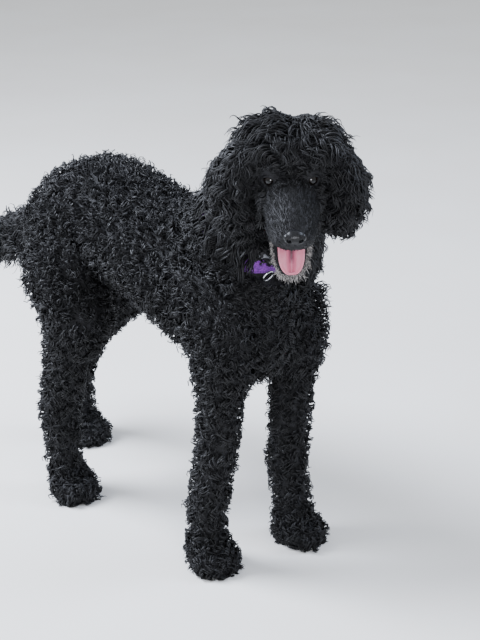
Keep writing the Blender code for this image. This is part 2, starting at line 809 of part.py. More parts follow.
def neck_band(name, centre, width, depth, thick, finish):
    # A flat band round the neck, and the channel that it lies in.
    up = NECK_AXIS.cross(X_AXIS)
    low = centre - COLLAR_AXIS * (width / 2)
    band = loft(name, NECK, X_AXIS, up, grow=depth + thick, sides=24, steps=2)
    boolean(band, "DIFFERENCE", [loft("inner", NECK, X_AXIS, up, grow=depth, sides=24, steps=2)])
    boolean(band, "INTERSECT", [slab("width", low, COLLAR_AXIS, width)])
    keep_largest(band)
    channel = slab("channel", low - COLLAR_AXIS * GAP, COLLAR_AXIS, width + 2 * GAP, 0.16)
    inner = loft("inner", NECK, X_AXIS, up, grow=depth - CHANNEL_GAP, sides=24, steps=2)
    boolean(channel, "DIFFERENCE", [inner])
    return dress(band, finish), channel


add_eyes()
boolean(head, "UNION", [add_lips()])
nose = add_nose()
jaw = add_jaw()
tongue = add_tongue()
clear_of(tongue, [head])
clear_of(jaw, [head, tongue])
ears = [add_ear("right"), add_ear("left")]
dress(keep_largest(head), black_coat)

neck_cut = slab("region", (0, -0.185, 0.515), Vector((0, -0.50, 0.86)), 0.6)
neck = part_off(body, "neck", neck_cut)
part_off(body, "tail", block("region", (-0.2, 0.280, 0.300), (0.2, 0.9, 0.9)))
for word in ("right", "left"):
    low_x, high_x = CUT_X[word]
    leg = part_off(
        body, "foreleg_" + word, block("region", (low_x, -0.6, -0.5), (high_x, -0.060, 0.265), 0.55)
    )
    part_off(leg, "forepaw_" + word, block("region", (-0.6, -0.6, 0.0), (0.6, 0.6, 0.070)))
    keep_largest(leg)
    thigh = part_off(
        body, "thigh_" + word, block("region", (low_x, 0.040, -0.5), (high_x, 0.6, 0.350), 0.85)
    )
    shank = part_off(thigh, "shank_" + word, block("region", (-0.6, -0.6, -0.5), (0.6, 0.6, 0.300)))
    keep_largest(thigh)
    part_off(shank, "hindpaw_" + word, block("region", (-0.6, -0.6, 0.0), (0.6, 0.6, 0.120)))
    keep_largest(shank)
keep_largest(dress(body, black_coat))

collar, channel = neck_band("collar", COLLAR_AT, COLLAR_WIDTH, COLLAR_DEPTH, COLLAR_THICK, purple_webbing)
band_at = COLLAR_AT + COLLAR_AXIS * (COLLAR_WIDTH / 2 + BAND_ABOVE + BAND_WIDTH / 2)
band, narrow = neck_band("second_band", band_at, BAND_WIDTH, COLLAR_DEPTH + BAND_OUT, BAND_THICK, grey_band)
ring_side = Z_AXIS.cross(RING_FACES).normalized()
ring_up = RING_FACES.cross(ring_side)
ring = hoop("leash_ring", RING_AT, ring_side, ring_up, RING_RADIUS, RING_RADIUS, RING_WIRE, 16, 6)
dress(ring, ring_steel)
pocket_axes = (ring_side, ring_up, RING_FACES)
pocket = ball("pocket", RING_AT + RING_FACES * 0.012, pocket_axes, (0.016, 0.016, 0.022), 8, 12)
boolean(neck, "DIFFERENCE", [channel, narrow, pocket])
clear_of(neck, [jaw, tongue, *ears])
clear_of(body, ears)

# The bounding box stands on the origin
bpy.context.view_layer.update()
corners = np.array([obj.matrix_world @ Vector(corner) for obj in dog.objects for corner in obj.bound_box])
low, high = corners.min(axis=0), corners.max(axis=0)
stand = Vector((-(low[0] + high[0]) / 2, -(low[1] + high[1]) / 2, -low[2]))
for obj in dog.objects:
    obj.data.transform(Matrix.Translation(stand))
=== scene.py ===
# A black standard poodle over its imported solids: skin, curls, face, collar, floor, light and camera.
# Metres, +Z up. The dog faces -Y and +X is its left. Places are worked out from the point of the
# floor midway between the paws, and every piece is then moved by stand to where the solids are.
import math

import bmesh
import bpy
import numpy as np
from mathutils import Matrix, Vector
from mathutils.bvhtree import BVHTree
from mathutils.kdtree import KDTree


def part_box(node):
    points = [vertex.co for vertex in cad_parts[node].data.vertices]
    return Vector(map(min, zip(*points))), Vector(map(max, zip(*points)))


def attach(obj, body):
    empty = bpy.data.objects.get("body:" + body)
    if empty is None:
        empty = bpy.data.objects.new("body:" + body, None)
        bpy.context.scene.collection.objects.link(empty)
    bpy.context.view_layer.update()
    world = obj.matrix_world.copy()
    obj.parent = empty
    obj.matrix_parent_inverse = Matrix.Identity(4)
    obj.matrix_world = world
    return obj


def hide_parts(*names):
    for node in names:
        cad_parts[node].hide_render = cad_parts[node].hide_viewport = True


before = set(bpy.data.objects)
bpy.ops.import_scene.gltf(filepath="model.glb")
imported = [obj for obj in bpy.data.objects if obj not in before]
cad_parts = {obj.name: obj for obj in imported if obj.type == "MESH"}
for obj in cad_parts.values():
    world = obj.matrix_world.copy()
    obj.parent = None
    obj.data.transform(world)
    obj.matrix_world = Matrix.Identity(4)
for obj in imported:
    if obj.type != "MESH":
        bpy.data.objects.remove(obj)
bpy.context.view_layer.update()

head = dict(at=(-0.035, -0.315, 0.657), turn=-43, pitch=30, mouthOpen=33, hingeBack=0.035, hingeDown=0.050)
headAt = np.array(head["at"])


def addObject(name, data):
    obj = bpy.data.objects.new(name, data)
    bpy.context.scene.collection.objects.link(obj)
    return obj


def centreOf(node):
    low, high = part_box(node)
    return (low + high) / 2


stand = (centreOf("eye_left") + centreOf("eye_right")) / 2 - Vector(headAt)
xAxis, yAxis, zAxis = np.eye(3)
turn, pitch, gape = (math.radians(head[word]) for word in ("turn", "pitch", "mouthOpen"))
ahead = np.array([math.sin(turn), -math.cos(turn), 0.0])
leftward = np.cross(zAxis, ahead)
forward = ahead * math.cos(pitch) - zAxis * math.sin(pitch)
upward = np.cross(forward, leftward)
jawForward = forward * math.cos(gape) - upward * math.sin(gape)
jawUp = upward * math.cos(gape) + forward * math.sin(gape)
jawHinge = headAt - forward * head["hingeBack"] - upward * head["hingeDown"]
headAxes = np.stack([forward, leftward, upward])
jawAxes = np.stack([jawForward, leftward, jawUp])


def inHead(*place):
    return headAt + np.array(place) @ headAxes


def inJaw(*place):
    return jawHinge + np.array(place) @ jawAxes


# Camera: the photo's angle and framing, with no roll, shift or depth of field
view = dict(at=(-1.547, -1.702, 1.263), towards=(0.6617, 0.6509, -0.3722), focalPixels=1500, tall=640)
cameraData = bpy.data.cameras.new("camera")
cameraData.sensor_width = 36.0
cameraData.lens = view["focalPixels"] / view["tall"] * cameraData.sensor_width
camera = addObject("camera", cameraData)
camera.location = Vector(view["at"]) + stand
camera.rotation_euler = Vector(view["towards"]).to_track_quat("-Z", "Y").to_euler()
bpy.context.scene.camera = camera
print("camera set")


# Materials

def linear(hexColour):
    values = [int(hexColour[i : i + 2], 16) / 255 for i in (1, 3, 5)]
    return [v / 12.92 if v <= 0.04045 else ((v + 0.055) / 1.055) ** 2.4 for v in values] + [1.0]


def addNode(tree, kind, settings=None, links=None):
    # Adds one node. Settings whose names are inputs are set on those sockets.
    node = tree.nodes.new(kind)
    for name, value in (settings or {}).items():
        if isinstance(name, int) or name in node.inputs:
            node.inputs[name].default_value = value
        else:
            setattr(node, name, value)
    for name, socket in (links or {}).items():
        tree.links.new(socket, node.inputs[name])
    return node


def newMaterial(name, settings):
    made = bpy.data.materials.new(name)
    made.use_nodes = True
    shader = made.node_tree.nodes["Principled BSDF"]
    for socket, value in settings.items():
        shader.inputs[socket].default_value = value
    return made, made.node_tree, shader


def speckle(tree, shader, spots, sizeMm, detail=2.0):
    # Mixes two colours over patches of one real size.
    place = addNode(tree, "ShaderNodeTexCoord").outputs["Object"]
    settings = {"Scale": 1000 / sizeMm, "Detail": detail}
    noise = addNode(tree, "ShaderNodeTexNoise", settings, {"Vector": place})
    ramp = addNode(tree, "ShaderNodeValToRGB", {}, {0: noise.outputs["Fac"]})
    for element, (position, colour) in zip(ramp.color_ramp.elements, spots):
        element.position = position
        element.color = linear(colour)
    tree.links.new(ramp.outputs["Color"], shader.inputs["Base Color"])
    return ramp


def roughen(tree, shader, sizeMm, heightMm, strength=1.0, detail=2.0):
    # A bump of one real grain size and height.
    place = addNode(tree, "ShaderNodeTexCoord").outputs["Object"]
    settings = {"Scale": 1000 / sizeMm, "Detail": detail}
    grain = addNode(tree, "ShaderNodeTexNoise", settings, {"Vector": place})
    settings = {"Distance": heightMm / 1000, "Strength": strength}
    bump = addNode(tree, "ShaderNodeBump", settings, {"Height": grain.outputs["Fac"]})
    tree.links.new(bump.outputs["Normal"], shader.inputs["Normal"])


def paintZones(ramp, first, between, last):
    # The colours of a ramp from 0 to 1.
    elements = ramp.color_ramp.elements
    for position, colour in between:
        elements.new(position).color = linear(colour)
    elements[0].color = linear(first)
    elements[-1].color = linear(last)


# Black curls: keratin with a little skin oil, so each lock has a soft gloss along it
curlBlack, tree, shader = newMaterial(
    "blackPoodleCurl", {"Roughness": 0.52, "IOR": 1.55, "Specular IOR Level": 0.27}
)
speckle(tree, shader, [(0.36, "#0d0d0e"), (0.66, "#222224")], 12.0)

# Short clipped hair on the face: the same keratin, lying flat, with a softer sheen
faceBlack, tree, shader = newMaterial(
    "clippedBlackHair", {"Roughness": 0.58, "IOR": 1.55, "Specular IOR Level": 0.12}
)
speckle(tree, shader, [(0.36, "#0c0c0c"), (0.66, "#1b1b1c")], 9.0, 4.0)
roughen(tree, shader, 0.9, 0.25)

# Greying beard: clear and black hairs side by side, which read as a mottled grey. The patches are
# coarser than single hairs, so that the mix shows.
beardGrey, tree, shader = newMaterial("greyBeardHair", {"Roughness": 0.55, "IOR": 1.5})
speckle(tree, shader, [(0.38, "#524f4d"), (0.62, "#b4afab")], 3.0)

# Dark skin under the coat: dull, so gaps between the curls stay dark
skinDark, tree, shader = newMaterial(
    "darkSkin", {"Roughness": 0.6, "IOR": 1.45, "Specular IOR Level": 0.25}
)
speckle(tree, shader, [(0.38, "#101011"), (0.64, "#222225")], 5.0)
roughen(tree, shader, 1.6, 1.2, 0.8, 4.0)

# Nose leather: wet pebbled skin, so it shines in small points
pebbleMm = 1.3
noseSkin, tree, shader = newMaterial(
    "wetNoseLeather", {"Roughness": 0.32, "IOR": 1.4, "Specular IOR Level": 0.4}
)
speckle(tree, shader, [(0.38, "#0b0b0c"), (0.66, "#1a1a1c")], 2.5)
cells = addNode(
    tree,
    "ShaderNodeTexVoronoi",
    {"Scale": 1000 / pebbleMm},
    {"Vector": addNode(tree, "ShaderNodeTexCoord").outputs["Object"]},
)
pebbles = addNode(
    tree,
    "ShaderNodeBump",
    {"Distance": 0.0003, "Strength": 0.45, "invert": True},
    {"Height": cells.outputs["Distance"]},
)
tree.links.new(pebbles.outputs["Normal"], shader.inputs["Normal"])

# Tongue: moist muscle with fine papillae. Its colour carries painted shade that darkens its groove and a
# painted highlight that pales its rim.
tonguePink, tree, shader = newMaterial(
    "moistTongue",
    {"Roughness": 0.28, "IOR": 1.4, "Subsurface Weight": 0.2, "Subsurface Radius": (0.006, 0.002, 0.0015)},
)
patches = speckle(tree, shader, [(0.30, "#cd7f97"), (0.70, "#e29db0")], 6.0)
# The distance from the groove sets where the painted groove shade and the painted rim highlight fall.
fromMiddle = addNode(tree, "ShaderNodeAttribute", {"attribute_name": "fromMiddle"})
zones = addNode(tree, "ShaderNodeValToRGB", {}, {0: fromMiddle.outputs["Fac"]})
# Painted shade at the groove, pink across the middle, painted highlight at the rim.
paintZones(zones, "#5a2f3c", [(0.10, "#8d4a60"), (0.26, "#cf7890"), (0.80, "#d27d92")], "#e0a0b0")
mixed = addNode(
    tree,
    "ShaderNodeMix",
    {"data_type": "RGBA", "blend_type": "MULTIPLY", "Factor": 0.35},
    {"A": zones.outputs["Color"], "B": patches.outputs["Color"]},
)
tree.links.new(mixed.outputs["Result"], shader.inputs["Base Color"])
roughen(tree, shader, 0.8, 0.25)

# Nylon webbing: flat yarns woven in ribs, which show as fine lines along it. The real ribs are about
# half as wide, too fine to show.
ribMm = 3.167
webbing, tree, shader = newMaterial("purpleNylonWebbing", {"Roughness": 0.55, "Sheen Weight": 0.3})
speckle(tree, shader, [(0.35, "#5a1a80"), (0.65, "#8c31b2")], 3.0)
ribs = addNode(
    tree,
    "ShaderNodeTexWave",
    {"Scale": 1000 * 2 * math.pi / 20 / ribMm, "bands_direction": "Z", "Distortion": 1.2},
    {"Vector": addNode(tree, "ShaderNodeTexCoord").outputs["Object"]},
)
settings = {"Distance": 0.0005, "Strength": 0.9}
weave = addNode(tree, "ShaderNodeBump", settings, {"Height": ribs.outputs["Fac"]})
tree.links.new(weave.outputs["Normal"], shader.inputs["Normal"])

# Moulded soft plastic band: an even matt grey
bandGrey, tree, shader = newMaterial("mouldedGreyBand", {"Roughness": 0.45, "IOR": 1.46})
speckle(tree, shader, [(0.35, "#5b5d61"), (0.65, "#7b7d82")], 8.0)
roughen(tree, shader, 0.7, 0.06)

# Plated steel wire: bright, with faint wear
ringSteel, tree, shader = newMaterial("platedSteelWire", {"Metallic": 1.0, "Roughness": 0.22})
speckle(tree, shader, [(0.35, "#b9bbbd"), (0.65, "#dcdde0")], 4.0)
roughen(tree, shader, 0.9, 0.02)

# Matt painted floor: nearly even, so the paws' soft shadows show on it
floorPale, tree, shader = newMaterial("paleStudioFloor", {"Roughness": 0.6})
speckle(tree, shader, [(0.3, "#e9e7e3"), (0.7, "#edece9")], 400.0)
print("materials made")


# Shape tools

def unit(rows):
    return rows / np.maximum(np.linalg.norm(rows, axis=-1, keepdims=True), 1e-9)


def anglesOf(count):
    return 2 * math.pi * np.arange(count) / count


def smoothRows(rows, steps):
    # Catmull-Rom curve through rows of numbers.
    rows = np.array(rows, float)
    padded = np.vstack([2 * rows[0] - rows[1], rows, 2 * rows[-1] - rows[-2]])
    made = []
    for a, b, c, d in zip(padded, padded[1:], padded[2:], padded[3:]):
        for t in np.arange(steps) / steps:
            bend = (2 * a - 5 * b + 4 * c - d) * t * t + (3 * b - a - 3 * c + d) * t**3
            made.append(0.5 * (2 * b + (c - a) * t + bend))
    made.append(rows[-1])
    return np.array(made)


def loftRings(stations, side, up, share=0.0, sides=32, steps=6, square=1.0, roof=0.0, keel=0.0):
    # Rings through stations of (x, y, z, half side, half up, coat), swollen by a share of the coat.
    # A square below 1 fills their corners, and roof and keel narrow them above and below.
    rows = smoothRows(stations, steps)
    c, s = np.cos(anglesOf(sides)), np.sin(anglesOf(sides))
    c = np.sign(c) * np.abs(c) ** square
    s = np.sign(s) * np.abs(s) ** square
    c = c * (1 - roof * np.maximum(s, 0) - keel * np.maximum(-s, 0))
    wide = np.maximum(rows[:, 3], 0.002) + share * rows[:, 5]
    high = np.maximum(rows[:, 4], 0.002) + share * rows[:, 5]
    across = (wide[:, None] * c)[..., None] * side
    rise = (high[:, None] * s)[..., None] * up
    return rows[:, None, :3] + across + rise


def tubeRings(points, radius, sides=12):
    # Rings of a round tube along points.
    ways = unit(np.gradient(points, axis=0))
    side = np.cross(ways[0], [0.3, 0.5, 0.81])
    rings = []
    for point, way in zip(points, ways):
        side = side - way * (side @ way)
        side /= np.linalg.norm(side)
        up = np.cross(way, side)
        turns = anglesOf(sides)
        rings.append(point + radius * (np.cos(turns)[:, None] * side + np.sin(turns)[:, None] * up))
    return np.array(rings)


def loopTube(path, out, axis, radius, sides):
    # A closed round wire along a loop, with its section spanned by out and axis.
    spin = anglesOf(sides)[None, :, None]
    return meshOf(path[:, None] + radius * (np.cos(spin) * out[:, None] + np.sin(spin) * axis), loop=True)


def sphereRings(centre, axes, radii, rows=24, sides=32):
    # Rings of an ellipsoid about its third axis.
    made = []
    for angle in np.linspace(0.02, math.pi - 0.02, rows):
        turns = anglesOf(sides)
        ring = np.array(centre) + axes[2] * radii[2] * math.cos(angle)
        around = np.cos(turns)[:, None] * axes[0] * radii[0] + np.sin(turns)[:, None] * axes[1] * radii[1]
        made.append(ring + around * math.sin(angle))
    return np.array(made)


def meshOf(rings, loop=False):
    # Points and faces of one closed tube of rings, or of a ring-shaped one.
    count, sides = rings.shape[:2]
    index = np.arange(count * sides).reshape(count, sides)
    faces = []
    last = count if loop else count - 1
    for k in range(last):
        one, two = index[k], index[(k + 1) % count]
        faces += [(one[j], one[(j + 1) % sides], two[(j + 1) % sides], two[j]) for j in range(sides)]
    if not loop:
        faces += [tuple(index[0][::-1]), tuple(index[-1])]
    return rings.reshape(-1, 3), faces


def addMesh(name, parts):
    # One object of several closed parts, shaded smooth, with its faces turned out.
    shape = bmesh.new()
    for points, faces in parts:
        verts = [shape.verts.new(point) for point in points]
        for face in faces:
            shape.faces.new([verts[i] for i in face])
    bmesh.ops.recalc_face_normals(shape, faces=shape.faces)
    mesh = bpy.data.meshes.new(name)
    shape.to_mesh(mesh)
    shape.free()
    mesh.shade_smooth()
    return addObject(name, mesh)


def bake(obj):
    # Leaves the object with the mesh that its modifiers make.
    bpy.context.view_layer.update()
    mesh = bpy.data.meshes.new_from_object(obj.evaluated_get(bpy.context.evaluated_depsgraph_get()))
    obj.modifiers.clear()
    old = obj.data
    obj.data = mesh
    bpy.data.meshes.remove(old)
    return obj


def fuse(obj, voxel, softness):
    # Overlapping parts become one soft surface.
    step = obj.modifiers.new("fuse", "REMESH")
    step.mode = "VOXEL"
    step.voxel_size = voxel
    step = obj.modifiers.new("soften", "SMOOTH")
    step.factor = 0.5
    step.iterations = softness
    bake(obj)
    obj.data.shade_smooth()
    return obj


def combine(obj, tools, operation):
    # Adds closed objects to a closed one, or cuts them away, one at a time.
    for tool in tools:
        step = obj.modifiers.new("combine", "BOOLEAN")
        step.operation = operation
        step.object = tool
        step.solver = "MANIFOLD"
        bake(obj)
        bpy.data.objects.remove(tool)
    return obj


def dress(obj, material, slot, *nodes):
    # Gives a finished piece its material, and moves it to where the solids stand.
    obj.data.materials.clear()
    obj.data.materials.append(material)
    obj.data.transform(Matrix.Translation(stand))
    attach(obj, "root")
    if nodes:
        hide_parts(*nodes)
    return obj


def numbersOf(mesh, word):
    # The place or normal of every vertex.
    rows = np.empty(len(mesh.vertices) * 3, np.float32)
    mesh.vertices.foreach_get(word, rows)
    return rows.reshape(-1, 3).astype(float)


def moveTo(mesh, points):
    mesh.vertices.foreach_set("co", points.astype(np.float32).ravel())


def addValue(mesh, name, values):
    # A number from 0 to 1 at every vertex, for a material.
    layer = mesh.attributes.new(name, "FLOAT", "POINT")
    layer.data.foreach_set("value", np.clip(values, 0, 1).astype(np.float32))


def treeOf(obj):
    mesh = obj.data
    return BVHTree.FromPolygons([v.co for v in mesh.vertices], [tuple(p.vertices) for p in mesh.polygons])


# The body's named stations: those of the solids, but for a slightly shorter muzzle

coat = dict(body=0.028, neck=0.027, leg=0.016, paw=0.013, tail=0.034, crown=0.027, ear=0.027, face=0.003)
skinShare = 0.42

trunk = [  # y, top, bottom, half width, coat
    (-0.272, 0.446, 0.385, 0.020, 0.020),
    (-0.250, 0.474, 0.342, 0.054, coat["body"]),
    (-0.205, 0.499, 0.330, 0.076, coat["body"]),
    (-0.140, 0.513, 0.338, 0.086, coat["body"]),
    (-0.060, 0.528, 0.370, 0.092, coat["body"]),
    (0.010, 0.543, 0.402, 0.089, coat["body"]),
    (0.075, 0.563, 0.416, 0.082, coat["body"]),
    (0.135, 0.571, 0.415, 0.082, coat["body"]),
    (0.190, 0.554, 0.408, 0.085, coat["body"]),
    (0.232, 0.534, 0.405, 0.074, coat["body"]),
    (0.256, 0.490, 0.420, 0.040, 0.024),
]
neckAxis = np.array([0.0, -0.42, 0.91]) / math.hypot(0.42, 0.91)
neckUp = np.cross(neckAxis, xAxis)
neck = [  # place, half width, half depth, coat
    (0.009, -0.120, 0.430, 0.077, 0.085, coat["body"]),
    (0.022, -0.165, 0.510, 0.078, 0.078, coat["body"]),
    (0.036, -0.200, 0.575, 0.078, 0.062, coat["neck"]),
    (0.044, -0.228, 0.632, 0.068, 0.056, coat["neck"]),
    (0.040, -0.246, 0.675, 0.049, 0.046, 0.018),
]
tailAxis = np.array([0.0, 0.91, -0.42]) / math.hypot(0.42, 0.91)
tail = [
    (0.000, 0.205, 0.486, 0.026, 0.026, 0.014),
    (0.000, 0.262, 0.456, 0.020, 0.021, 0.018),
    (0.000, 0.315, 0.428, 0.016, 0.018, 0.030),
    (-0.004, 0.370, 0.407, 0.012, 0.014, coat["tail"]),
    (-0.010, 0.430, 0.384, 0.009, 0.010, 0.030),
    (-0.016, 0.475, 0.370, 0.006, 0.006, 0.016),
]
skull = [  # forward, top, bottom, half width, coat
    (-0.104, 0.010, -0.024, 0.022, 0.020),
    (-0.092, 0.022, -0.040, 0.040, coat["crown"]),
    (-0.066, 0.030, -0.053, 0.051, coat["crown"]),
    (-0.036, 0.031, -0.055, 0.054, coat["crown"]),
    (-0.014, 0.030, -0.052, 0.051, 0.018),
    (0.000, 0.022, -0.047, 0.039, 0.006),
    (0.010, 0.010, -0.040, 0.028, coat["face"]),
]
muzzle = [
    (-0.030, 0.010, -0.050, 0.046, coat["face"]),
    (0.000, 0.012, -0.047, 0.045, coat["face"]),
    (0.030, 0.009, -0.043, 0.0395, coat["face"]),
    (0.065, 0.005, -0.039, 0.0330, coat["face"]),
    (0.0895, 0.002, -0.0335, 0.0270, coat["face"]),
    (0.1028, -0.003, -0.0285, 0.0225, coat["face"]),
    (0.1095, -0.009, -0.0235, 0.0125, 0.002),
]
jaw = [
    (0.000, 0.004, -0.020, 0.036, 0.004),
    (0.038, 0.003, -0.022, 0.034, 0.004),
    (0.071, 0.002, -0.020, 0.0295, 0.004),
    (0.099, 0.002, -0.017, 0.0255, 0.004),
    (0.118, 0.002, -0.015, 0.0205, 0.004),
    (0.131, -0.001, -0.012, 0.0120, 0.003),
]
tongue = [
    (0.044, 0.0150, 0.0075, 0.0150, 0),
    (0.071, 0.0160, 0.0070, 0.0180, 0),
    (0.098, 0.0145, 0.0066, 0.0180, 0),
    (0.114, 0.0128, 0.0066, 0.0168, 0),
    (0.125, 0.0116, 0.0066, 0.0135, 0),
    (0.1315, 0.0105, 0.0068, 0.0085, 0),
    (0.1335, 0.0096, 0.0072, 0.0040, 0),
]
ear = [  # ahead, out, up on level axes, half width, half thickness, coat
    (-0.030, 0.046, 0.045, 0.016, 0.010, 0.014),
    (-0.036, 0.070, 0.026, 0.023, 0.007, 0.024),
    (-0.042, 0.083, -0.004, 0.027, 0.005, 0.030),
    (-0.045, 0.085, -0.036, 0.031, 0.005, 0.030),
    (-0.044, 0.080, -0.064, 0.029, 0.005, coat["ear"]),
    (-0.040, 0.073, -0.088, 0.018, 0.004, 0.020),
]
forelegs = [
    dict(side=-1, elbow=-0.211, wrist=-0.198, paw=(-0.087, -0.200), turn=-14),
    dict(side=1, elbow=-0.223, wrist=-0.219, paw=(0.070, -0.240), turn=14),
]
hindlegs = [
    dict(
        side=-1, stifle=(-0.086, 0.116, 0.330), hock=(-0.090, 0.168, 0.158), paw=(-0.090, 0.142), turn=-16
    ),
    dict(side=1, stifle=(0.078, 0.176, 0.335), hock=(0.072, 0.326, 0.158), paw=(0.070, 0.299), turn=-6),
]


def stationsOf(rows, placeAt):
    return [
        (*placeAt(along, 0, (top + bottom) / 2), half, (top - bottom) / 2, deep)
        for along, top, bottom, half, deep in rows
    ]


def trunkPlace(along, left, up):
    return (left, along, up)


def forelegRows(side, elbow, wrist, paw, turn):
    x = side * 0.075
    return [
        (side * 0.054, -0.150, 0.490, 0.034, 0.050, coat["body"]),
        (side * 0.067, -0.200, 0.430, 0.032, 0.050, coat["body"]),
        (x, elbow - 0.007, 0.350, 0.030, 0.034, 0.020),
        (x, elbow, 0.295, 0.024, 0.024, coat["leg"]),
        (x, (elbow + wrist) / 2, 0.220, 0.021, 0.021, coat["leg"]),
        (paw[0], wrist, 0.125, 0.019, 0.019, coat["leg"]),
        (paw[0], paw[1] + 0.008, 0.075, 0.018, 0.018, coat["leg"]),
        (paw[0], paw[1] + 0.004, 0.030, 0.022, 0.025, coat["paw"]),
    ]


def hindlegRows(side, stifle, hock, paw, turn):
    shank = [(a + b) / 2 for a, b in zip(stifle, hock)]
    return [
        (side * 0.045, 0.168, 0.505, 0.034, 0.050, coat["body"]),
        (side * 0.064, 0.152, 0.455, 0.044, 0.056, coat["body"]),
        (side * 0.078, stifle[1] + 0.033, 0.390, 0.040, 0.060, 0.026),
        (*stifle, 0.033, 0.048, 0.022),
        (*shank, 0.024, 0.031, 0.019),
        (*hock, 0.018, 0.023, 0.018),
        (hock[0], hock[1] - 0.006, hock[2] - 0.050, 0.017, 0.019, 0.017),
        (paw[0], paw[1] + 0.018, 0.062, 0.017, 0.019, 0.017),
        (paw[0], paw[1] + 0.008, 0.028, 0.021, 0.026, coat["paw"]),
    ]


def pawRows(paw, turn):
    angle = math.radians(turn)
    way = np.array([math.sin(angle), -math.cos(angle), 0.0])
    rows = [
        (-0.031, 0.018, 0.015, 0.022),
        (-0.012, 0.028, 0.021, 0.024),
        (0.012, 0.032, 0.018, 0.020),
        (0.032, 0.028, 0.014, 0.015),
        (0.044, 0.016, 0.009, 0.011),
    ]
    made = [
        (*(np.array([*paw, up]) + way * along), wide, high, coat["paw"]) for along, wide, high, up in rows
    ]
    return made, way


def bodyParts(share):
    parts = [
        loftRings(stationsOf(trunk, trunkPlace), xAxis, zAxis, share, keel=0.25),
        loftRings(neck, xAxis, neckUp, share),
        loftRings(tail, xAxis, np.cross(tailAxis, xAxis), share),
    ]
    for legs, rowsOf in ((forelegs, forelegRows), (hindlegs, hindlegRows)):
        for leg in legs:
            parts.append(loftRings(rowsOf(**leg), xAxis, yAxis, share))
            rows, way = pawRows(leg["paw"], leg["turn"])
            parts.append(loftRings(rows, np.cross(zAxis, way), zAxis, share))
    return [meshOf(rings) for rings in parts]


mouth = dict(narrowerRight=0.18, lipRadius=0.0032)


def jawRings(share):
    # A little narrower on the dog's right, as the mouth hangs.
    rings = loftRings(stationsOf(jaw, inJaw), leftward, jawUp, share, square=0.8)
    aside = (rings - jawHinge) @ leftward
    return rings - leftward * (np.minimum(aside, 0) * mouth["narrowerRight"])[..., None]


def skullParts(share):
    return [
        meshOf(loftRings(stationsOf(skull, inHead), leftward, upward, share, square=0.8)),
        meshOf(loftRings(stationsOf(muzzle, inHead), leftward, upward, 1.0, square=0.8, roof=0.45)),
        meshOf(jawRings(share)),
    ]


earSides = {-1: dict(inset=0.0, drop=1.0), 1: dict(inset=0.001, drop=0.98)}


def earRows(side):
    # The ears hang straight down, however the head tips.
    made = []
    inset, drop = earSides[side]["inset"], earSides[side]["drop"]
    for along, out, up, wide, thick, deep in ear:
        place = headAt + ahead * along + leftward * side * (out - inset) + zAxis * up * drop
        made.append((*place, thick, wide, deep))
    return made


def earParts(side, share):
    return [meshOf(loftRings(earRows(side), leftward, ahead, share))]


# Skin: one surface under the coat, with the folds, lids and lips of the head

eye = dict(
    radius=0.0115, apart=0.0556, gaze=(0.80, 0.42, 0.30), lidHalfWide=0.0113, lidHalfTall=0.0078,
    lidRoll=0.0022, lidOut=0.0086, cornersBack=0.0030, gap=0.0002, slitOut=0.016,
    slit=(0.0095, 0.0062, 0.012), cornea=0.0007, corneaReach=0.62,
)
folds = [  # place from between the eyes, reach, and how far out
    ((0.004, 0.026, 0.016), 0.012, 0.0030),  # brow
    ((0.012, 0.014, 0.006), 0.009, -0.0030),  # hollow between eye and bridge
    ((0.000, 0.000, 0.026), 0.012, -0.0020),  # furrow of the forehead
    ((-0.020, 0.046, -0.028), 0.018, 0.0025),  # cheek
    ((0.030, 0.034, -0.012), 0.015, -0.0018),  # under the eye
    ((0.088, 0.030, -0.024), 0.014, 0.0016),  # flews
    ((0.100, 0.000, 0.004), 0.008, -0.0010),  # behind the nose
]


def eyeAxes(side):
    toFront, toSide, toTop = eye["gaze"]
    look = forward * toFront + leftward * side * toSide + upward * toTop
    look /= np.linalg.norm(look)
    across = leftward - look * (leftward @ look)
    across /= np.linalg.norm(across)
    return across, np.cross(look, across), look


def eyeCentre(side):
    return inHead(0, side * eye["apart"] / 2, 0)


def lidRing(side):
    # The rolled rim of both lids, an almond that leans a little towards the nose.
    across, rise, look = eyeAxes(side)
    turns = anglesOf(40)
    wide = np.cos(turns) * eye["lidHalfWide"]
    tall = np.sin(turns) * eye["lidHalfTall"] * (1 - 0.25 * np.abs(np.cos(turns)))
    depth = eye["lidOut"] - eye["cornersBack"] * (np.cos(turns) ** 2)
    path = eyeCentre(side) + wide[:, None] * across + tall[:, None] * rise + depth[:, None] * look
    out = np.cross(unit(np.roll(path, -1, axis=0) - np.roll(path, 1, axis=0)), look)
    return loopTube(path, out, look, eye["lidRoll"], 8)


def lipPath():
    edge = [
        (0.012, 0.0400, -0.0460),
        (0.040, 0.0375, -0.0425),
        (0.066, 0.0330, -0.0390),
        (0.0878, 0.0260, -0.0345),
        (0.0998, 0.0180, -0.0305),
        (0.1066, 0.0085, -0.0272),
    ]
    half = smoothRows(edge, 5)
    mirrored = half[::-1] * np.array([1, -1, 1])
    return np.array([inHead(*row) for row in np.vstack([half, mirrored])])


voxels = dict(body=0.0051, face=0.0016, ear=0.003)
lowest = 0.0005  # the soles' height over the floor
bodySkin = fuse(addMesh("bodySkin", bodyParts(skinShare)), voxels["body"], 5)
points = numbersOf(bodySkin.data, "co")
points[:, 2] = np.maximum(points[:, 2], lowest)
moveTo(bodySkin.data, points)
print("body skin", len(bodySkin.data.polygons))

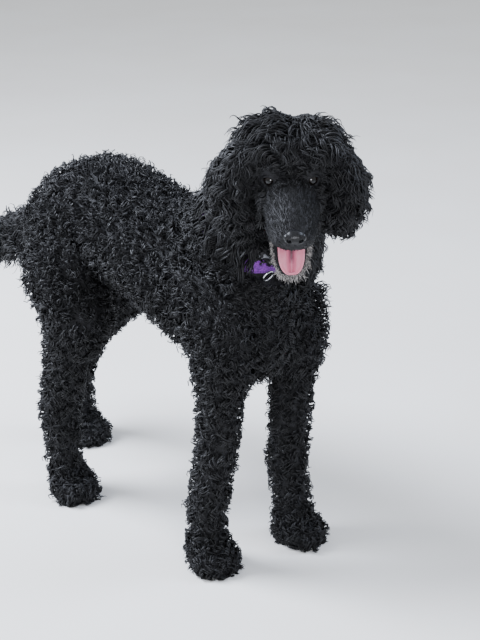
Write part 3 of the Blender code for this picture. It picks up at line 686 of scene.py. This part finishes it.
faceParts = skullParts(skinShare) + [meshOf(tubeRings(lipPath(), mouth["lipRadius"]))]
faceSkin = fuse(addMesh("faceSkin", faceParts), voxels["face"], 5)
points = numbersOf(faceSkin.data, "co")
outward = numbersOf(faceSkin.data, "normal")
local = (points - headAt) @ headAxes.T
for place, reach, rise in folds:
    for side in (-1, 1):
        centre = np.array(place) * (1, side, 1)
        near = np.exp(-np.sum((local - centre) ** 2, axis=1) / reach**2)
        points += outward * (near * rise * (0.5 if place[1] == 0 else 1.0))[:, None]
moveTo(faceSkin.data, points)
combine(faceSkin, [addMesh("lid", [lidRing(side)]) for side in (-1, 1)], "UNION")
sockets = []
for side in (-1, 1):
    axes = eyeAxes(side)
    sockets.append(sphereRings(eyeCentre(side), axes, [eye["radius"] + eye["gap"]] * 3))
    sockets.append(sphereRings(eyeCentre(side) + axes[2] * eye["slitOut"], axes, eye["slit"]))
combine(faceSkin, [addMesh("socket", [meshOf(rings)]) for rings in sockets], "DIFFERENCE")
earSkins = [fuse(addMesh("earSkin", earParts(side, skinShare)), voxels["ear"], 3) for side in (-1, 1)]
print("face skin", len(faceSkin.data.polygons))

regionTrees = [treeOf(obj) for obj in (bodySkin, faceSkin, *earSkins)]
skin = combine(bodySkin, [faceSkin, *earSkins], "UNION")
skin.name = "skin"
skin.data.shade_smooth()
skin.data.uv_layers.new(name="OFBake")
bpy.context.view_layer.objects.active = skin
skin.select_set(True)
bpy.ops.object.mode_set(mode="EDIT")
bpy.ops.mesh.select_all(action="SELECT")
bpy.ops.mesh.quads_convert_to_tris()
bpy.ops.uv.smart_project(angle_limit=math.radians(75), island_margin=0.001)
bpy.ops.object.mode_set(mode="OBJECT")
skin.select_set(False)
print("skin unwrapped", len(skin.data.polygons))


def tipsOf(parts, voxel, softness):
    # The coat's outer surface, to which the locks grow.
    obj = fuse(addMesh("tips", parts), voxel, softness)
    tree = treeOf(obj)
    bpy.data.objects.remove(obj)
    return tree


bodyTips = tipsOf(bodyParts(1.0), 0.007, 4)
headTips = tipsOf(skullParts(1.0), 0.004, 3)
earTips = [tipsOf(earParts(side, 1.0), 0.004, 2) for side in (-1, 1)]


# Coat: closed three-sided locks rooted in the skin. All draw on one random source, in turn.

rng = np.random.default_rng(7)
skinNormals = numbersOf(skin.data, "normal")
skinFaces = np.empty(len(skin.data.polygons) * 3, np.int32)
skin.data.polygons.foreach_get("vertices", skinFaces)
skinFaces = skinFaces.reshape(-1, 3)
skinUv = np.empty(len(skin.data.loops) * 2, np.float32)
skin.data.uv_layers["OFBake"].uv.foreach_get("vector", skinUv)
skinUv = skinUv.reshape(-1, 3, 2)
triangles = numbersOf(skin.data, "co")[skinFaces]
faceAreas = np.linalg.norm(
    np.cross(triangles[:, 1] - triangles[:, 0], triangles[:, 2] - triangles[:, 0]), axis=1
) / 2
faceCentres = triangles.mean(axis=1)


def scatter(chosen, spacing):
    # Even random roots on the chosen faces of the skin, with their normals and places on the unwrap.
    areas = faceAreas * chosen
    count = int(areas.sum() / spacing**2 * 5)
    picked = rng.choice(len(areas), count, p=areas / areas.sum())
    mix = np.sqrt(rng.random(count))
    blend = rng.random(count)
    weights = np.stack([1 - mix, mix * (1 - blend), mix * blend], axis=1)
    places = np.einsum("nk,nkd->nd", weights, triangles[picked])
    cells = np.floor(places / spacing).astype(np.int64)
    keys = (cells[:, 0] * 7919 + cells[:, 1]) * 7919 + cells[:, 2]
    _, kept = np.unique(keys, return_index=True)
    kept = rng.permutation(kept)
    weights, picked, places = weights[kept], picked[kept], places[kept]
    normals = unit(np.einsum("nk,nkd->nd", weights, skinNormals[skinFaces[picked]]))
    unwrap = np.einsum("nk,nkd->nd", weights, skinUv[picked])
    return places, normals, unwrap


def depthsTo(tree, places, normals, most):
    # How far the coat stands out over each root.
    made = []
    for place, normal in zip(places, normals):
        hit, _, _, far = tree.ray_cast(Vector(place), Vector(normal), most)
        if hit is None:
            _, _, _, far = tree.find_nearest(Vector(place))
        made.append(min(far, most))
    return np.array(made)


def growLocks(name, roots, lies, depths, look, material=curlBlack, slot="black_coat"):
    # Curly locks: each rises from its root, leans with the lie of the coat, droops and turns as it
    # goes. Locks near one another share a curl and draw together, as the strands of a ringlet do.
    places, normals, unwrap = roots
    count, steps = len(places), look["steps"]
    leaders = max(1, count // look["gather"])
    knots = KDTree(leaders)
    for k in range(leaders):
        knots.insert(Vector(places[k]), k)
    knots.balance()
    leader = np.array([knots.find(Vector(place))[1] for place in places])
    lies = unit(lies - normals * np.sum(lies * normals, axis=1, keepdims=True) * 0.85)
    across = unit(np.cross(normals, lies))
    rise = depths * rng.uniform(*look["rise"], count)[leader] * rng.uniform(0.9, 1.1, count)
    rise *= np.where(rng.random(count) < look["wisps"], 1.35, 1.0)
    reach = look["reach"] * rng.uniform(0.7, 1.3, count)[leader]
    droop = look["droop"] * rng.uniform(0.7, 1.3, count)[leader]
    sway = rng.normal(0, look["stray"], (count, 3)) + rng.normal(0, look["stray"], (count, 3))[leader]
    phase = (rng.random(count) * 2 * math.pi)[leader] + rng.normal(0, 0.35, count)
    hand = np.where(rng.random(count) < 0.5, -1.0, 1.0)[leader]
    curl = look["curl"] * rng.uniform(0.7, 1.3, count)[leader]
    turns = look["turns"] * rng.uniform(0.75, 1.25, count)[leader]
    t = np.linspace(0, 1, steps + 1)
    lift = np.sin(t * math.pi / 2)[None, :, None]
    u = t[None, :, None]
    path = places[:, None] - normals[:, None] * look["sink"]
    path = path + normals[:, None] * (rise + look["sink"])[:, None, None] * lift
    path = path + lies[:, None] * reach[:, None, None] * u**1.5
    path = path + sway[:, None] * (rise + reach)[:, None, None] * u**1.3
    path = path - zAxis * droop[:, None, None] * u**2
    path = path + (places[leader] - places)[:, None] * look["pull"] * u
    ways = unit(np.gradient(path, axis=1))
    second = unit(np.cross(ways, across[:, None]))
    angle = phase[:, None] + (hand * turns)[:, None] * 2 * math.pi * t[None]
    radius = (curl[:, None] * np.minimum(1, 2.5 * t[None]))[..., None]
    path = path + radius * np.cos(angle)[..., None] * across[:, None]
    path = path + radius * look["round"] * np.sin(angle)[..., None] * second
    path[..., 2] = np.maximum(path[..., 2], 0.0016)
    ways = unit(np.gradient(path, axis=1))
    side = unit(np.cross(ways, normals[:, None] + 0.3 * across[:, None]))
    top = np.cross(side, ways)
    taper = np.interp(t, np.linspace(0, 1, 8), [0.8, 1.0, 1.0, 0.95, 0.85, 0.7, 0.5, 0.12])
    half = look["width"] * taper[None, :, None] * rng.uniform(0.7, 1.3, count)[:, None, None]
    rings = np.stack([path + side * half, path - side * half, path + top * half * look["thick"]], axis=2)
    pieceSize = 190000 // (steps * 6 + 2)
    order = np.argsort(places[:, 1])
    for number, first in enumerate(range(0, count, pieceSize)):
        part = order[first : first + pieceSize]
        lockMesh(f"{name}_{number + 1}", rings[part], unwrap[part], material, slot)
    print(name, count, "locks", count * (steps * 6 + 2), "triangles")


def lockMesh(name, rings, unwrap, material, slot):
    # One piece of many closed locks, each a small patch at its root's place on the skin's unwrap.
    count, rows = rings.shape[:2]
    base = (np.arange(count) * rows * 3)[:, None]
    quads = []
    for k in range(rows - 1):
        for a, b in ((0, 1), (1, 2), (2, 0)):
            quads.append([k * 3 + a, k * 3 + b, (k + 1) * 3 + b, (k + 1) * 3 + a])
    quads = (base[..., None] + np.array(quads)[None]).reshape(-1, 4)
    ends = np.array([[2, 1, 0], [rows * 3 - 3, rows * 3 - 2, rows * 3 - 1]])
    ends = (base[..., None] + ends[None]).reshape(-1, 3)
    mesh = bpy.data.meshes.new(name)
    mesh.vertices.add(count * rows * 3)
    mesh.vertices.foreach_set("co", rings.astype(np.float32).ravel())
    corners = np.concatenate([quads.ravel(), ends.ravel()]).astype(np.int32)
    mesh.loops.add(len(corners))
    mesh.loops.foreach_set("vertex_index", corners)
    mesh.polygons.add(len(quads) + len(ends))
    starts = np.concatenate([np.arange(len(quads)) * 4, quads.size + np.arange(len(ends)) * 3])
    mesh.polygons.foreach_set("loop_start", starts.astype(np.int32))
    mesh.polygons.foreach_set("use_smooth", np.ones(len(starts), bool))
    layer = mesh.uv_layers.new(name="OFBake")
    spot = np.zeros((count, rows, 3, 2))
    spot[..., 0] = unwrap[:, None, None, 0] + 0.0015 * np.array([-1, 1, 0])
    spot[..., 1] = unwrap[:, None, None, 1] + 0.003 * (np.arange(rows) / (rows - 1) - 0.5)[None, :, None]
    layer.uv.foreach_set("vector", spot.reshape(-1, 2)[corners].astype(np.float32).ravel())
    mesh.update(calc_edges=True)
    mesh.validate()
    dress(addObject(name, mesh), material, slot)


def toNearestEye(places):
    return np.min([np.linalg.norm(places - eyeCentre(side), axis=1) for side in (-1, 1)], axis=0)


collar = dict(  # sunk deeper on the right, at degrees from the ring, where more hair covers it
    at=(0, -0.206, 0.526), axis=(0, -0.58, 0.81), width=0.025, thick=0.0028, depth=0.011,
    sunk=0.0032, sunkAt=-75, sunkSpread=32,
)
band = dict(width=0.008, thick=0.0022, depth=0.014, gap=0.004)
ruff = dict(halfWide=0.038, reach=0.17, back=-0.05, towards=(-0.35, -0.80, -0.48), window=(-31, 45))
lidEdge = 0.0165  # no hair nearer than this to the middle of an eye

# Which faces of the skin carry which coat. On the head, along, left and up are from between the eyes.
bodyRegion, faceRegion, rightEar, leftEar = range(4)
far = np.array([[tree.find_nearest(Vector(c))[3] or 0 for tree in regionTrees] for c in faceCentres])
region = far.argmin(axis=1)
along, left, up = ((faceCentres - headAt) @ headAxes.T).T
jawAlong, _, jawRise = ((faceCentres - jawHinge) @ jawAxes.T).T
y, z = faceCentres[:, 1:].T
eyeFar = toNearestEye(faceCentres)
onHead = region == faceRegion
isJaw = onHead & (jawAlong > 0.03) & (jawRise < 0.008) & (up < -0.035)
isCrown = onHead & ~isJaw & ((along <= -0.008) | ((along < 0.004) & (up > 0.012)))
isCrown &= (eyeFar > 0.024) | (along < -0.024)
isFace = onHead & ~isCrown & ~isJaw
isBrow = isFace & (up > 0.003) & (along < 0.018) & (eyeFar > lidEdge)
isCheek = isFace & (up < 0.006) & (along < 0.052) & (eyeFar > 0.0170) & ~isBrow
isCheek &= np.abs(left) > 0.030 + 0.2 * np.clip(along, 0, 1)
inMouth = (up < -0.034) & (np.abs(left) < 0.030) & (along > 0.02)
onNose = (along > 0.099) & (up > -0.015) & (np.abs(left) < 0.0135)
isClipped = isFace & ~inMouth & ~onNose & (eyeFar >= lidEdge)

# The collar's plane, and the angle round it from the ring
collarAt = np.array(collar["at"])
collarAxis = unit(np.array(collar["axis"], float))
collarFar = (faceCentres - collarAt) @ collarAxis
collarOut = faceCentres - collarAt - collarFar[:, None] * collarAxis
towardsRing = unit(np.array(ruff["towards"]))
towardsRing = unit(towardsRing - collarAxis * (towardsRing @ collarAxis))
sideways = np.cross(collarAxis, towardsRing)
outward = unit(collarOut)
angleFromRing = np.degrees(np.arctan2(outward @ sideways, outward @ towardsRing))
inWindow = (angleFromRing > ruff["window"][0]) & (angleFromRing < ruff["window"][1])

atCollar = (region == bodyRegion) & (np.abs(collarFar) < collar["width"] / 2) & (y < ruff["back"])
atCollar &= np.linalg.norm(faceCentres - collarAt, axis=1) < ruff["reach"]
isBody = (region == bodyRegion) & ~atCollar
onTail = isBody & (y > 0.255) & (z > 0.34)
onPaw = isBody & (z < 0.050) & (z > 0.004)
onLeg = isBody & (z < 0.37) & ~onPaw & ~onTail
onRuff = isBody & (np.abs(collarFar) < ruff["halfWide"]) & (y < ruff["back"])
onRuff &= np.linalg.norm(collarOut, axis=1) < ruff["reach"]
onTrunk = isBody & ~onLeg & ~onPaw & ~onTail & ~onRuff & (z > 0.004)


def liesOnBody(places):
    # Down the legs, back along the trunk, down the neck and out along the tail.
    x, y, z = places.T
    lies = np.tile([0.0, 0.55, -0.55], (len(places), 1))
    lies[:, 0] += np.sign(x) * 0.15
    onNeck = (places - np.array(neck[0][:3])) @ neckAxis > 0.02
    lies[onNeck & (y < 0)] = -neckAxis
    lies[z < 0.36] = (0, 0.1, -1.0)
    lies[z < 0.05] = (0, -0.5, -0.8)
    lies[y > 0.255] = tailAxis
    return unit(lies)


crownShape = dict(  # a parting left of the middle and a peak on the right, from between the eyes
    parting=0.009, partingWide=0.008, partingDeep=0.62, peak=-0.015, peakWide=0.013, peakHigh=0.4,
    browStart=-0.040, browLong=0.045, eyeReach=0.040, eyeFade=0.015, shorter=0.35,
)


def liesOnCrown(places):
    # Away from the parting, and forward and down near the brow.
    local = (places - headAt) @ headAxes.T
    out = np.clip((local[:, 1] - crownShape["parting"]) / 0.016, -1, 1)
    front = np.clip((local[:, 0] + 0.045) / 0.03, 0, 1)
    out = out * (1 - 0.6 * front)
    return unit(out[:, None] * leftward + ahead * (0.3 + 0.4 * front)[:, None] - zAxis * 0.45)


swell = dict(at=(0.095, -0.240, 0.490), reach=0.060, rise=0.016)


def swellAt(places):
    # Longer coat where the neck meets the shoulder on the left.
    return swell["rise"] * np.exp(-np.sum(((places - swell["at"]) / swell["reach"]) ** 2, axis=1))


# Each coat, as a change of the body's: the roots' spacing, and a lock's rise, reach, curl and width
bodyLocks = dict(
    spacing=0.0062, steps=6, rise=(0.8, 1.15), reach=0.005, droop=0.002, curl=0.0034, round=1.0,
    turns=1.35, stray=0.06, wisps=0.08, sink=0.002, pull=0.55, gather=5, width=0.0013, thick=1.3,
)
legLocks = dict(
    bodyLocks, spacing=0.0064, rise=(0.8, 1.1), reach=0.006, droop=0.003, wisps=0.05, pull=0.62,
    gather=6, width=0.0015,
)
pawLocks = dict(
    bodyLocks, spacing=0.0050, rise=(0.8, 1.2), reach=0.007, curl=0.0030, turns=1.2, stray=0.07,
    wisps=0.03, sink=0.001, pull=0.6, width=0.0014, thick=1.2,
)
tailLocks = dict(
    bodyLocks, spacing=0.0052, steps=7, rise=(0.7, 1.2), reach=0.012, droop=0.010, curl=0.0038,
    round=0.9, turns=1.4, stray=0.09, wisps=0.05, pull=0.65, width=0.0014, thick=1.2,
)
crownLocks = dict(
    bodyLocks, spacing=0.0041, steps=10, rise=(0.85, 1.2), reach=0.024, droop=0.005, curl=0.0044,
    round=0.9, turns=1.15, stray=0.07, wisps=0.05, pull=0.65, gather=9, width=0.0014, thick=1.2,
)
earLocks = dict(
    bodyLocks, spacing=0.0046, steps=10, reach=0.026, droop=0.004, curl=0.0040, round=0.8,
    turns=1.3, wisps=0.04, pull=0.75, gather=9, thick=1.2,
)
ruffLocks = dict(
    bodyLocks, spacing=0.0041, steps=7, rise=(0.9, 1.2), droop=0.004, curl=0.0038, round=0.9,
    turns=1.4, stray=0.05, wisps=0.0, pull=0.6, width=0.0015,
)
faceLocks = dict(
    spacing=0.0025, steps=3, rise=(0.6, 1.2), reach=0.0062, droop=0.0, curl=0.0004, round=1.0,
    turns=0.4, stray=0.06, wisps=0.0, sink=0.0004, pull=0.1, gather=3, width=0.00060, thick=0.7,
    depth=0.0009,
)
cheekLocks = dict(
    spacing=0.0032, steps=6, rise=(0.7, 1.3), reach=0.012, droop=0.002, curl=0.0020, round=0.8,
    turns=0.9, stray=0.09, wisps=0.05, sink=0.001, pull=0.6, gather=6, width=0.0010, thick=1.0,
    browDepth=0.0036, cheekDepth=0.0045,
)
beardLocks = dict(
    spacing=0.0023, steps=5, rise=(0.6, 1.2), reach=0.006, droop=0.0015, curl=0.0010, round=0.8,
    turns=0.7, stray=0.14, wisps=0.06, sink=0.001, pull=0.5, gather=5, width=0.00045, thick=1.0,
    depth=0.003, longer=0.005,
)

for name, mask, look, least, most in (
    ("bodyCurls", onTrunk, bodyLocks, 0.010, 0.030),
    ("legCurls", onLeg, legLocks, 0.007, 0.020),
    ("pawCurls", onPaw, pawLocks, 0.007, 0.013),
    ("tailCurls", onTail, tailLocks, 0.008, 0.030),
):
    roots = scatter(mask, look["spacing"])
    depths = np.clip(depthsTo(bodyTips, roots[0], roots[1], most), least, most) + swellAt(roots[0])
    growLocks(name, roots, liesOnBody(roots[0]), depths, look)

# Ruff: the hair on both sides of the collar, short in the window where the collar shows
for name, mask, reach, deep, way in (
    ("ruffUpper", onRuff & (collarFar > 0) & ~inWindow, 0.036, 0.016, -1),
    ("ruffLower", onRuff & (collarFar < 0) & ~inWindow, 0.007, 0.018, 0.4),
    ("ruffAbove", onRuff & (collarFar > 0) & inWindow, 0.006, 0.005, -1),
    ("ruffBelow", onRuff & (collarFar < 0) & inWindow, 0.004, 0.005, -1),
):
    roots = scatter(mask, ruffLocks["spacing"])
    depths = deep + swellAt(roots[0])
    growLocks(name, roots, neckAxis * way, depths, dict(ruffLocks, reach=reach))

# Crown: parted and peaked, and shorter towards the brow and round the eyes
roots = scatter(isCrown, crownLocks["spacing"])
depths = np.clip(depthsTo(headTips, roots[0], roots[1], 0.024), 0.006, 0.024)
depths *= 1 + 0.25 * (roots[1] @ zAxis < 0.8)
rootAlong, rootLeft, rootUp = ((roots[0] - headAt) @ headAxes.T).T
toBrow = np.clip((rootAlong - crownShape["browStart"]) / crownShape["browLong"], 0, 1)
atParting = np.exp(-(((rootLeft - crownShape["parting"]) / crownShape["partingWide"]) ** 2))
atPeak = np.exp(-(((rootLeft - crownShape["peak"]) / crownShape["peakWide"]) ** 2))
overEye = np.clip((crownShape["eyeReach"] - toNearestEye(roots[0])) / crownShape["eyeFade"], 0, 1)
onTop = rootUp > 0
relief = crownShape["peakHigh"] * atPeak * onTop - crownShape["partingDeep"] * atParting * onTop
depths = depths * (1 + relief)
depths = depths * (1 - crownShape["shorter"] * toBrow) * (1 - crownShape["shorter"] * overEye)
look = dict(crownLocks, reach=crownLocks["reach"] * (1 - 0.6 * toBrow) * (1 - 0.75 * overEye))
growLocks("crownCurls", roots, liesOnCrown(roots[0]), depths, look)

# Ears: hanging curls, shorter towards the tip
for number, tree, name in ((rightEar, earTips[0], "earCurlsRight"), (leftEar, earTips[1], "earCurlsLeft")):
    roots = scatter(region == number, earLocks["spacing"])
    depths = np.clip(depthsTo(tree, roots[0], roots[1], 0.020), 0.008, 0.016)
    toTip = np.clip((headAt[2] + 0.02 - roots[0][:, 2]) / 0.10, 0, 1)
    look = dict(earLocks, reach=earLocks["reach"] * (1 - 0.75 * toTip))
    growLocks(name, roots, -zAxis, depths, look)

# Brow: lies away from the nearer eye
roots = scatter(isBrow, cheekLocks["spacing"])
lies = 0
for side in (-1, 1):
    fromEye = roots[0] - eyeCentre(side)
    lies = lies + unit(fromEye) / np.linalg.norm(fromEye, axis=1)[:, None] ** 2
lies = unit(lies) - zAxis * 0.25
growLocks("browHair", roots, lies, cheekLocks["browDepth"], cheekLocks)

# Cheeks: down, back and a little out
roots = scatter(isCheek, cheekLocks["spacing"])
outer = leftward * np.sign((roots[0] - headAt) @ leftward)[:, None]
lies = outer * 0.5 - zAxis * 0.8 - ahead * 0.5
growLocks("cheekHair", roots, lies, cheekLocks["cheekDepth"], cheekLocks)

# Face: clipped hair that lies back from the nose
roots = scatter(isClipped, faceLocks["spacing"])
growLocks("faceHair", roots, -forward - upward * 0.3, faceLocks["depth"], faceLocks, faceBlack)

# Beard: grey, longer towards the chin and thin on the dog's right
roots = scatter(isJaw & (jawRise < -0.002), beardLocks["spacing"])
toChin = np.clip((((roots[0] - jawHinge) @ jawAxes.T)[:, 0] - 0.06) / 0.06, 0, 1)
depths = beardLocks["depth"] + beardLocks["longer"] * toChin
depths *= np.where((roots[0] - headAt) @ leftward < -0.014, 0.5, 1.0)
growLocks("beard", roots, -zAxis - forward * 0.4, depths, beardLocks, beardGrey, "grey_beard")

paired = ("foreleg", "forepaw", "thigh", "shank", "hindpaw")
limbs = [f"{part}_{side}" for part in paired for side in ("left", "right")]
headAndTrunk = ("torso", "neck", "head", "lower_jaw", "ear_left", "ear_right", "tail")
dress(skin, skinDark, "black_coat", *headAndTrunk, *limbs)
print("coat grown")


# Eyes: a wet ball with a dark iris, a pupil and a slight bulge of the cornea

eyeBrown, tree, shader = newMaterial(
    "wetDarkEye", {"Roughness": 0.03, "IOR": 1.336, "Coat Weight": 0.3, "Coat Roughness": 0.03}
)
aim = addNode(tree, "ShaderNodeAttribute", {"attribute_name": "aim"})
zones = addNode(tree, "ShaderNodeValToRGB", {}, {0: aim.outputs["Fac"]})
paintZones(zones, "#050506", [(0.30, "#050506"), (0.36, "#120b08"), (0.60, "#0c0807")], "#2a2422")
tree.links.new(zones.outputs["Color"], shader.inputs["Base Color"])

for side, node in ((-1, "eye_right"), (1, "eye_left")):
    axes = eyeAxes(side)
    rings = sphereRings(eyeCentre(side), axes, [eye["radius"]] * 3, 40, 48)
    ball = addMesh(node + "_ball", [meshOf(rings)])
    points = numbersOf(ball.data, "co")
    outward = unit(points - eyeCentre(side))
    aimed = np.arccos(np.clip(outward @ axes[2], -1, 1)) / math.radians(60)
    points += outward * (eye["cornea"] * np.clip(1 - (aimed / eye["corneaReach"]) ** 2, 0, 1))[:, None]
    moveTo(ball.data, points)
    addValue(ball.data, "aim", aimed)
    dress(ball, eyeBrown, "eye_surface", node)

# Nose: leather pad with wings, nostrils and the groove below
nosePad = [  # forward, top, bottom, half width
    (0.0968, 0.001, -0.0125, 0.0115, 0),
    (0.1028, 0.0048, -0.0150, 0.0148, 0),
    (0.1088, 0.0048, -0.0150, 0.0152, 0),
    (0.1138, 0.0022, -0.0120, 0.0125, 0),
    (0.1168, -0.003, -0.009, 0.0074, 0),
]
noseForm = dict(  # the place of each lump from between the eyes, and its radii
    wing=((0.1078, 0.0105, -0.0040), (0.0068, 0.0058, 0.0064)),
    nostril=((0.1155, 0.0084, -0.0040), (0.0085, 0.0038, 0.0026)),
    slit=((0.1098, 0.0138, -0.0068), (0.006, 0.0062, 0.0015)),
    groove=((0.1168, 0, -0.012), (0.004, 0.0007, 0.0085)),
)


def noseLump(word, side):
    at, radii = noseForm[word]
    return meshOf(sphereRings(inHead(*(np.array(at) * (1, side, 1))), headAxes, radii))


noseParts = [meshOf(loftRings(stationsOf(nosePad, inHead), leftward, upward, square=0.85, roof=0.15))]
noseParts += [noseLump("wing", side) for side in (-1, 1)]
nose = fuse(addMesh("noseLeather", noseParts), 0.0009, 3)
holes = [noseLump(word, side) for side in (-1, 1) for word in ("nostril", "slit")]
holes.append(noseLump("groove", 1))
combine(nose, [addMesh("hole", [hole]) for hole in holes], "DIFFERENCE")
dress(fuse(nose, 0.0007, 2), noseSkin, "nose_leather", "nose")

# Tongue: broad and flat, with a groove down its middle, and hanging a little to the left
tongueForm = dict(wider=1.10, top=0.0108, groove=0.0042, grooveWide=0.0034, edges=0.0012, aside=0.0028)
rings = loftRings(stationsOf(tongue, inJaw), leftward, jawUp, square=0.85, sides=48, steps=12)
flat = (rings.reshape(-1, 3) - jawHinge) @ jawAxes.T
flat[:, 1] *= tongueForm["wider"]
upper = flat[:, 2] > tongueForm["top"]
flat[:, 2] -= upper * tongueForm["groove"] * np.exp(-((flat[:, 1] / tongueForm["grooveWide"]) ** 2))
flat[:, 2] += tongueForm["edges"] * (flat[:, 1] / 0.018) ** 2 * upper
flat[:, 1] += tongueForm["aside"] * np.clip((flat[:, 0] - 0.045) / 0.03, 0, 1)
muscle = addMesh("tongueMuscle", [meshOf((jawHinge + flat @ jawAxes).reshape(rings.shape))])
flat = (numbersOf(muscle.data, "co") - jawHinge) @ jawAxes.T
halfWide = np.interp(flat[:, 0], [row[0] for row in tongue], [row[3] for row in tongue])
halfWide *= tongueForm["wider"]
# How far each point lies from the groove, across the tongue. This places the painted groove shade and the
# painted rim highlight.
offMiddle = np.abs(flat[:, 1] - tongueForm["aside"]) / np.maximum(halfWide, 0.002)
# Towards the tip the painted groove shade fades out.
offMiddle = np.maximum(offMiddle, 0.3 * np.clip((flat[:, 0] - 0.108) / 0.012, 0, 1))
addValue(muscle.data, "fromMiddle", offMiddle)
dress(muscle, tonguePink, "tongue_skin", "tongue")


# Collar and band: wrapped round the neck where the solids are

def wrapRings(at, width, thick, depth, edge, rows=160):
    # A flat strap round the neck: at each angle its section is a thin rounded strip.
    guide = treeOf(guideShape)
    front = np.cross(collarAxis, xAxis)
    profile = [(-0.5, 0.0), (-0.5, 0.7), (-0.46, 1.0), (-0.25, 1.0), (0, 1.0), (0.25, 1.0), (0.46, 1.0)]
    profile += [(0.5, 0.7), (0.5, 0.0), (0.25, 0.0), (0, 0.0), (-0.25, 0.0)]
    rings = []
    for angle in anglesOf(rows):
        out = xAxis * math.cos(angle) + front * math.sin(angle)
        aside = math.degrees(math.atan2(out @ sideways, out @ towardsRing))
        sunk = collar["sunk"] * math.exp(-(((aside - collar["sunkAt"]) / collar["sunkSpread"]) ** 2))
        section = []
        for high, outer in profile:
            start = at + collarAxis * high * width
            hit, _, _, reach = guide.ray_cast(Vector(start), Vector(out), 0.3)
            rim = edge * (abs(high) > 0.4)
            section.append(start + out * ((reach or 0.08) + depth - sunk + thick * outer + rim))
        rings.append(section)
    return np.array(rings)


guideShape = addMesh("neckGuide", [meshOf(loftRings(neck, xAxis, neckUp, sides=96, steps=16))])
rings = wrapRings(collarAt, collar["width"], collar["thick"], collar["depth"], -0.0004)
dress(addMesh("collarStrap", [meshOf(rings, loop=True)]), webbing, "purple_webbing", "collar")
bandAt = collarAt + collarAxis * (collar["width"] / 2 + band["gap"] + band["width"] / 2)
rings = wrapRings(bandAt, band["width"], band["thick"], band["depth"], -0.0005)
dress(addMesh("bandStrap", [meshOf(rings, loop=True)]), bandGrey, "grey_band", "second_band")
bpy.data.objects.remove(guideShape)

# Ring: welded steel wire
ring = dict(at=(-0.019, -0.2575, 0.4905), faces=(-0.05, -0.88, -0.47), radius=0.0092, wire=0.0014)
faces = unit(np.array(ring["faces"]))
side = unit(np.cross(faces, zAxis))
rise = np.cross(side, faces)
turns = anglesOf(64)
loopPath = np.array(ring["at"]) + ring["radius"] * (
    np.cos(turns)[:, None] * side + np.sin(turns)[:, None] * rise
)
outward = unit(loopPath - np.array(ring["at"]))
wire = loopTube(loopPath, outward, faces, ring["wire"], 16)
dress(addMesh("ringWire", [wire]), ringSteel, "ring_steel", "leash_ring")
print("face, collar and ring made")


# Floor, light and world

reach = 6  # of the floor to each side
corners = [(-reach, -reach, 0), (reach, -reach, 0), (reach, reach, 0), (-reach, reach, 0)]
floor = addMesh("floor", [(corners, [(0, 1, 2, 3)])])
floor.data.materials.append(floorPale)


def addLight(name, place, target, size, power, colour):
    data = bpy.data.lights.new(name, "AREA")
    data.shape = "DISK"
    data.size = size
    data.energy = power
    data.color = linear(colour)[:3]
    lamp = addObject(name, data)
    lamp.location = place
    lamp.rotation_euler = (Vector(target) - Vector(place)).to_track_quat("-Z", "Y").to_euler()
    return lamp


catchAt = headAt + 0.6 * unit(np.array([-0.66, -0.74, 0.12])) + np.array(stand)
lights = dict(
    keyBox=((-1.2, 1.6, 2.4), (0, 0, 0.4), 1.6, 310, "#e9f0ff"),
    sideBox=((2.0, -1.5, 2.5), (0, 0, 0.5), 1.4, 72, "#d9e6ff"),
    catchLight=(catchAt, Vector(headAt) + stand, 0.22, 2.7, "#f4f6ff"),
)
for name, settings in lights.items():
    lamp = addLight(name, *settings)
lamp.visible_camera = False  # the last one only lights the eyes
world = bpy.data.worlds.new("world")
bpy.context.scene.world = world
world.use_nodes = True
background = world.node_tree.nodes["Background"]
background.inputs["Color"].default_value = linear("#e9ecf0")
background.inputs["Strength"].default_value = 0.95
print("lights set")
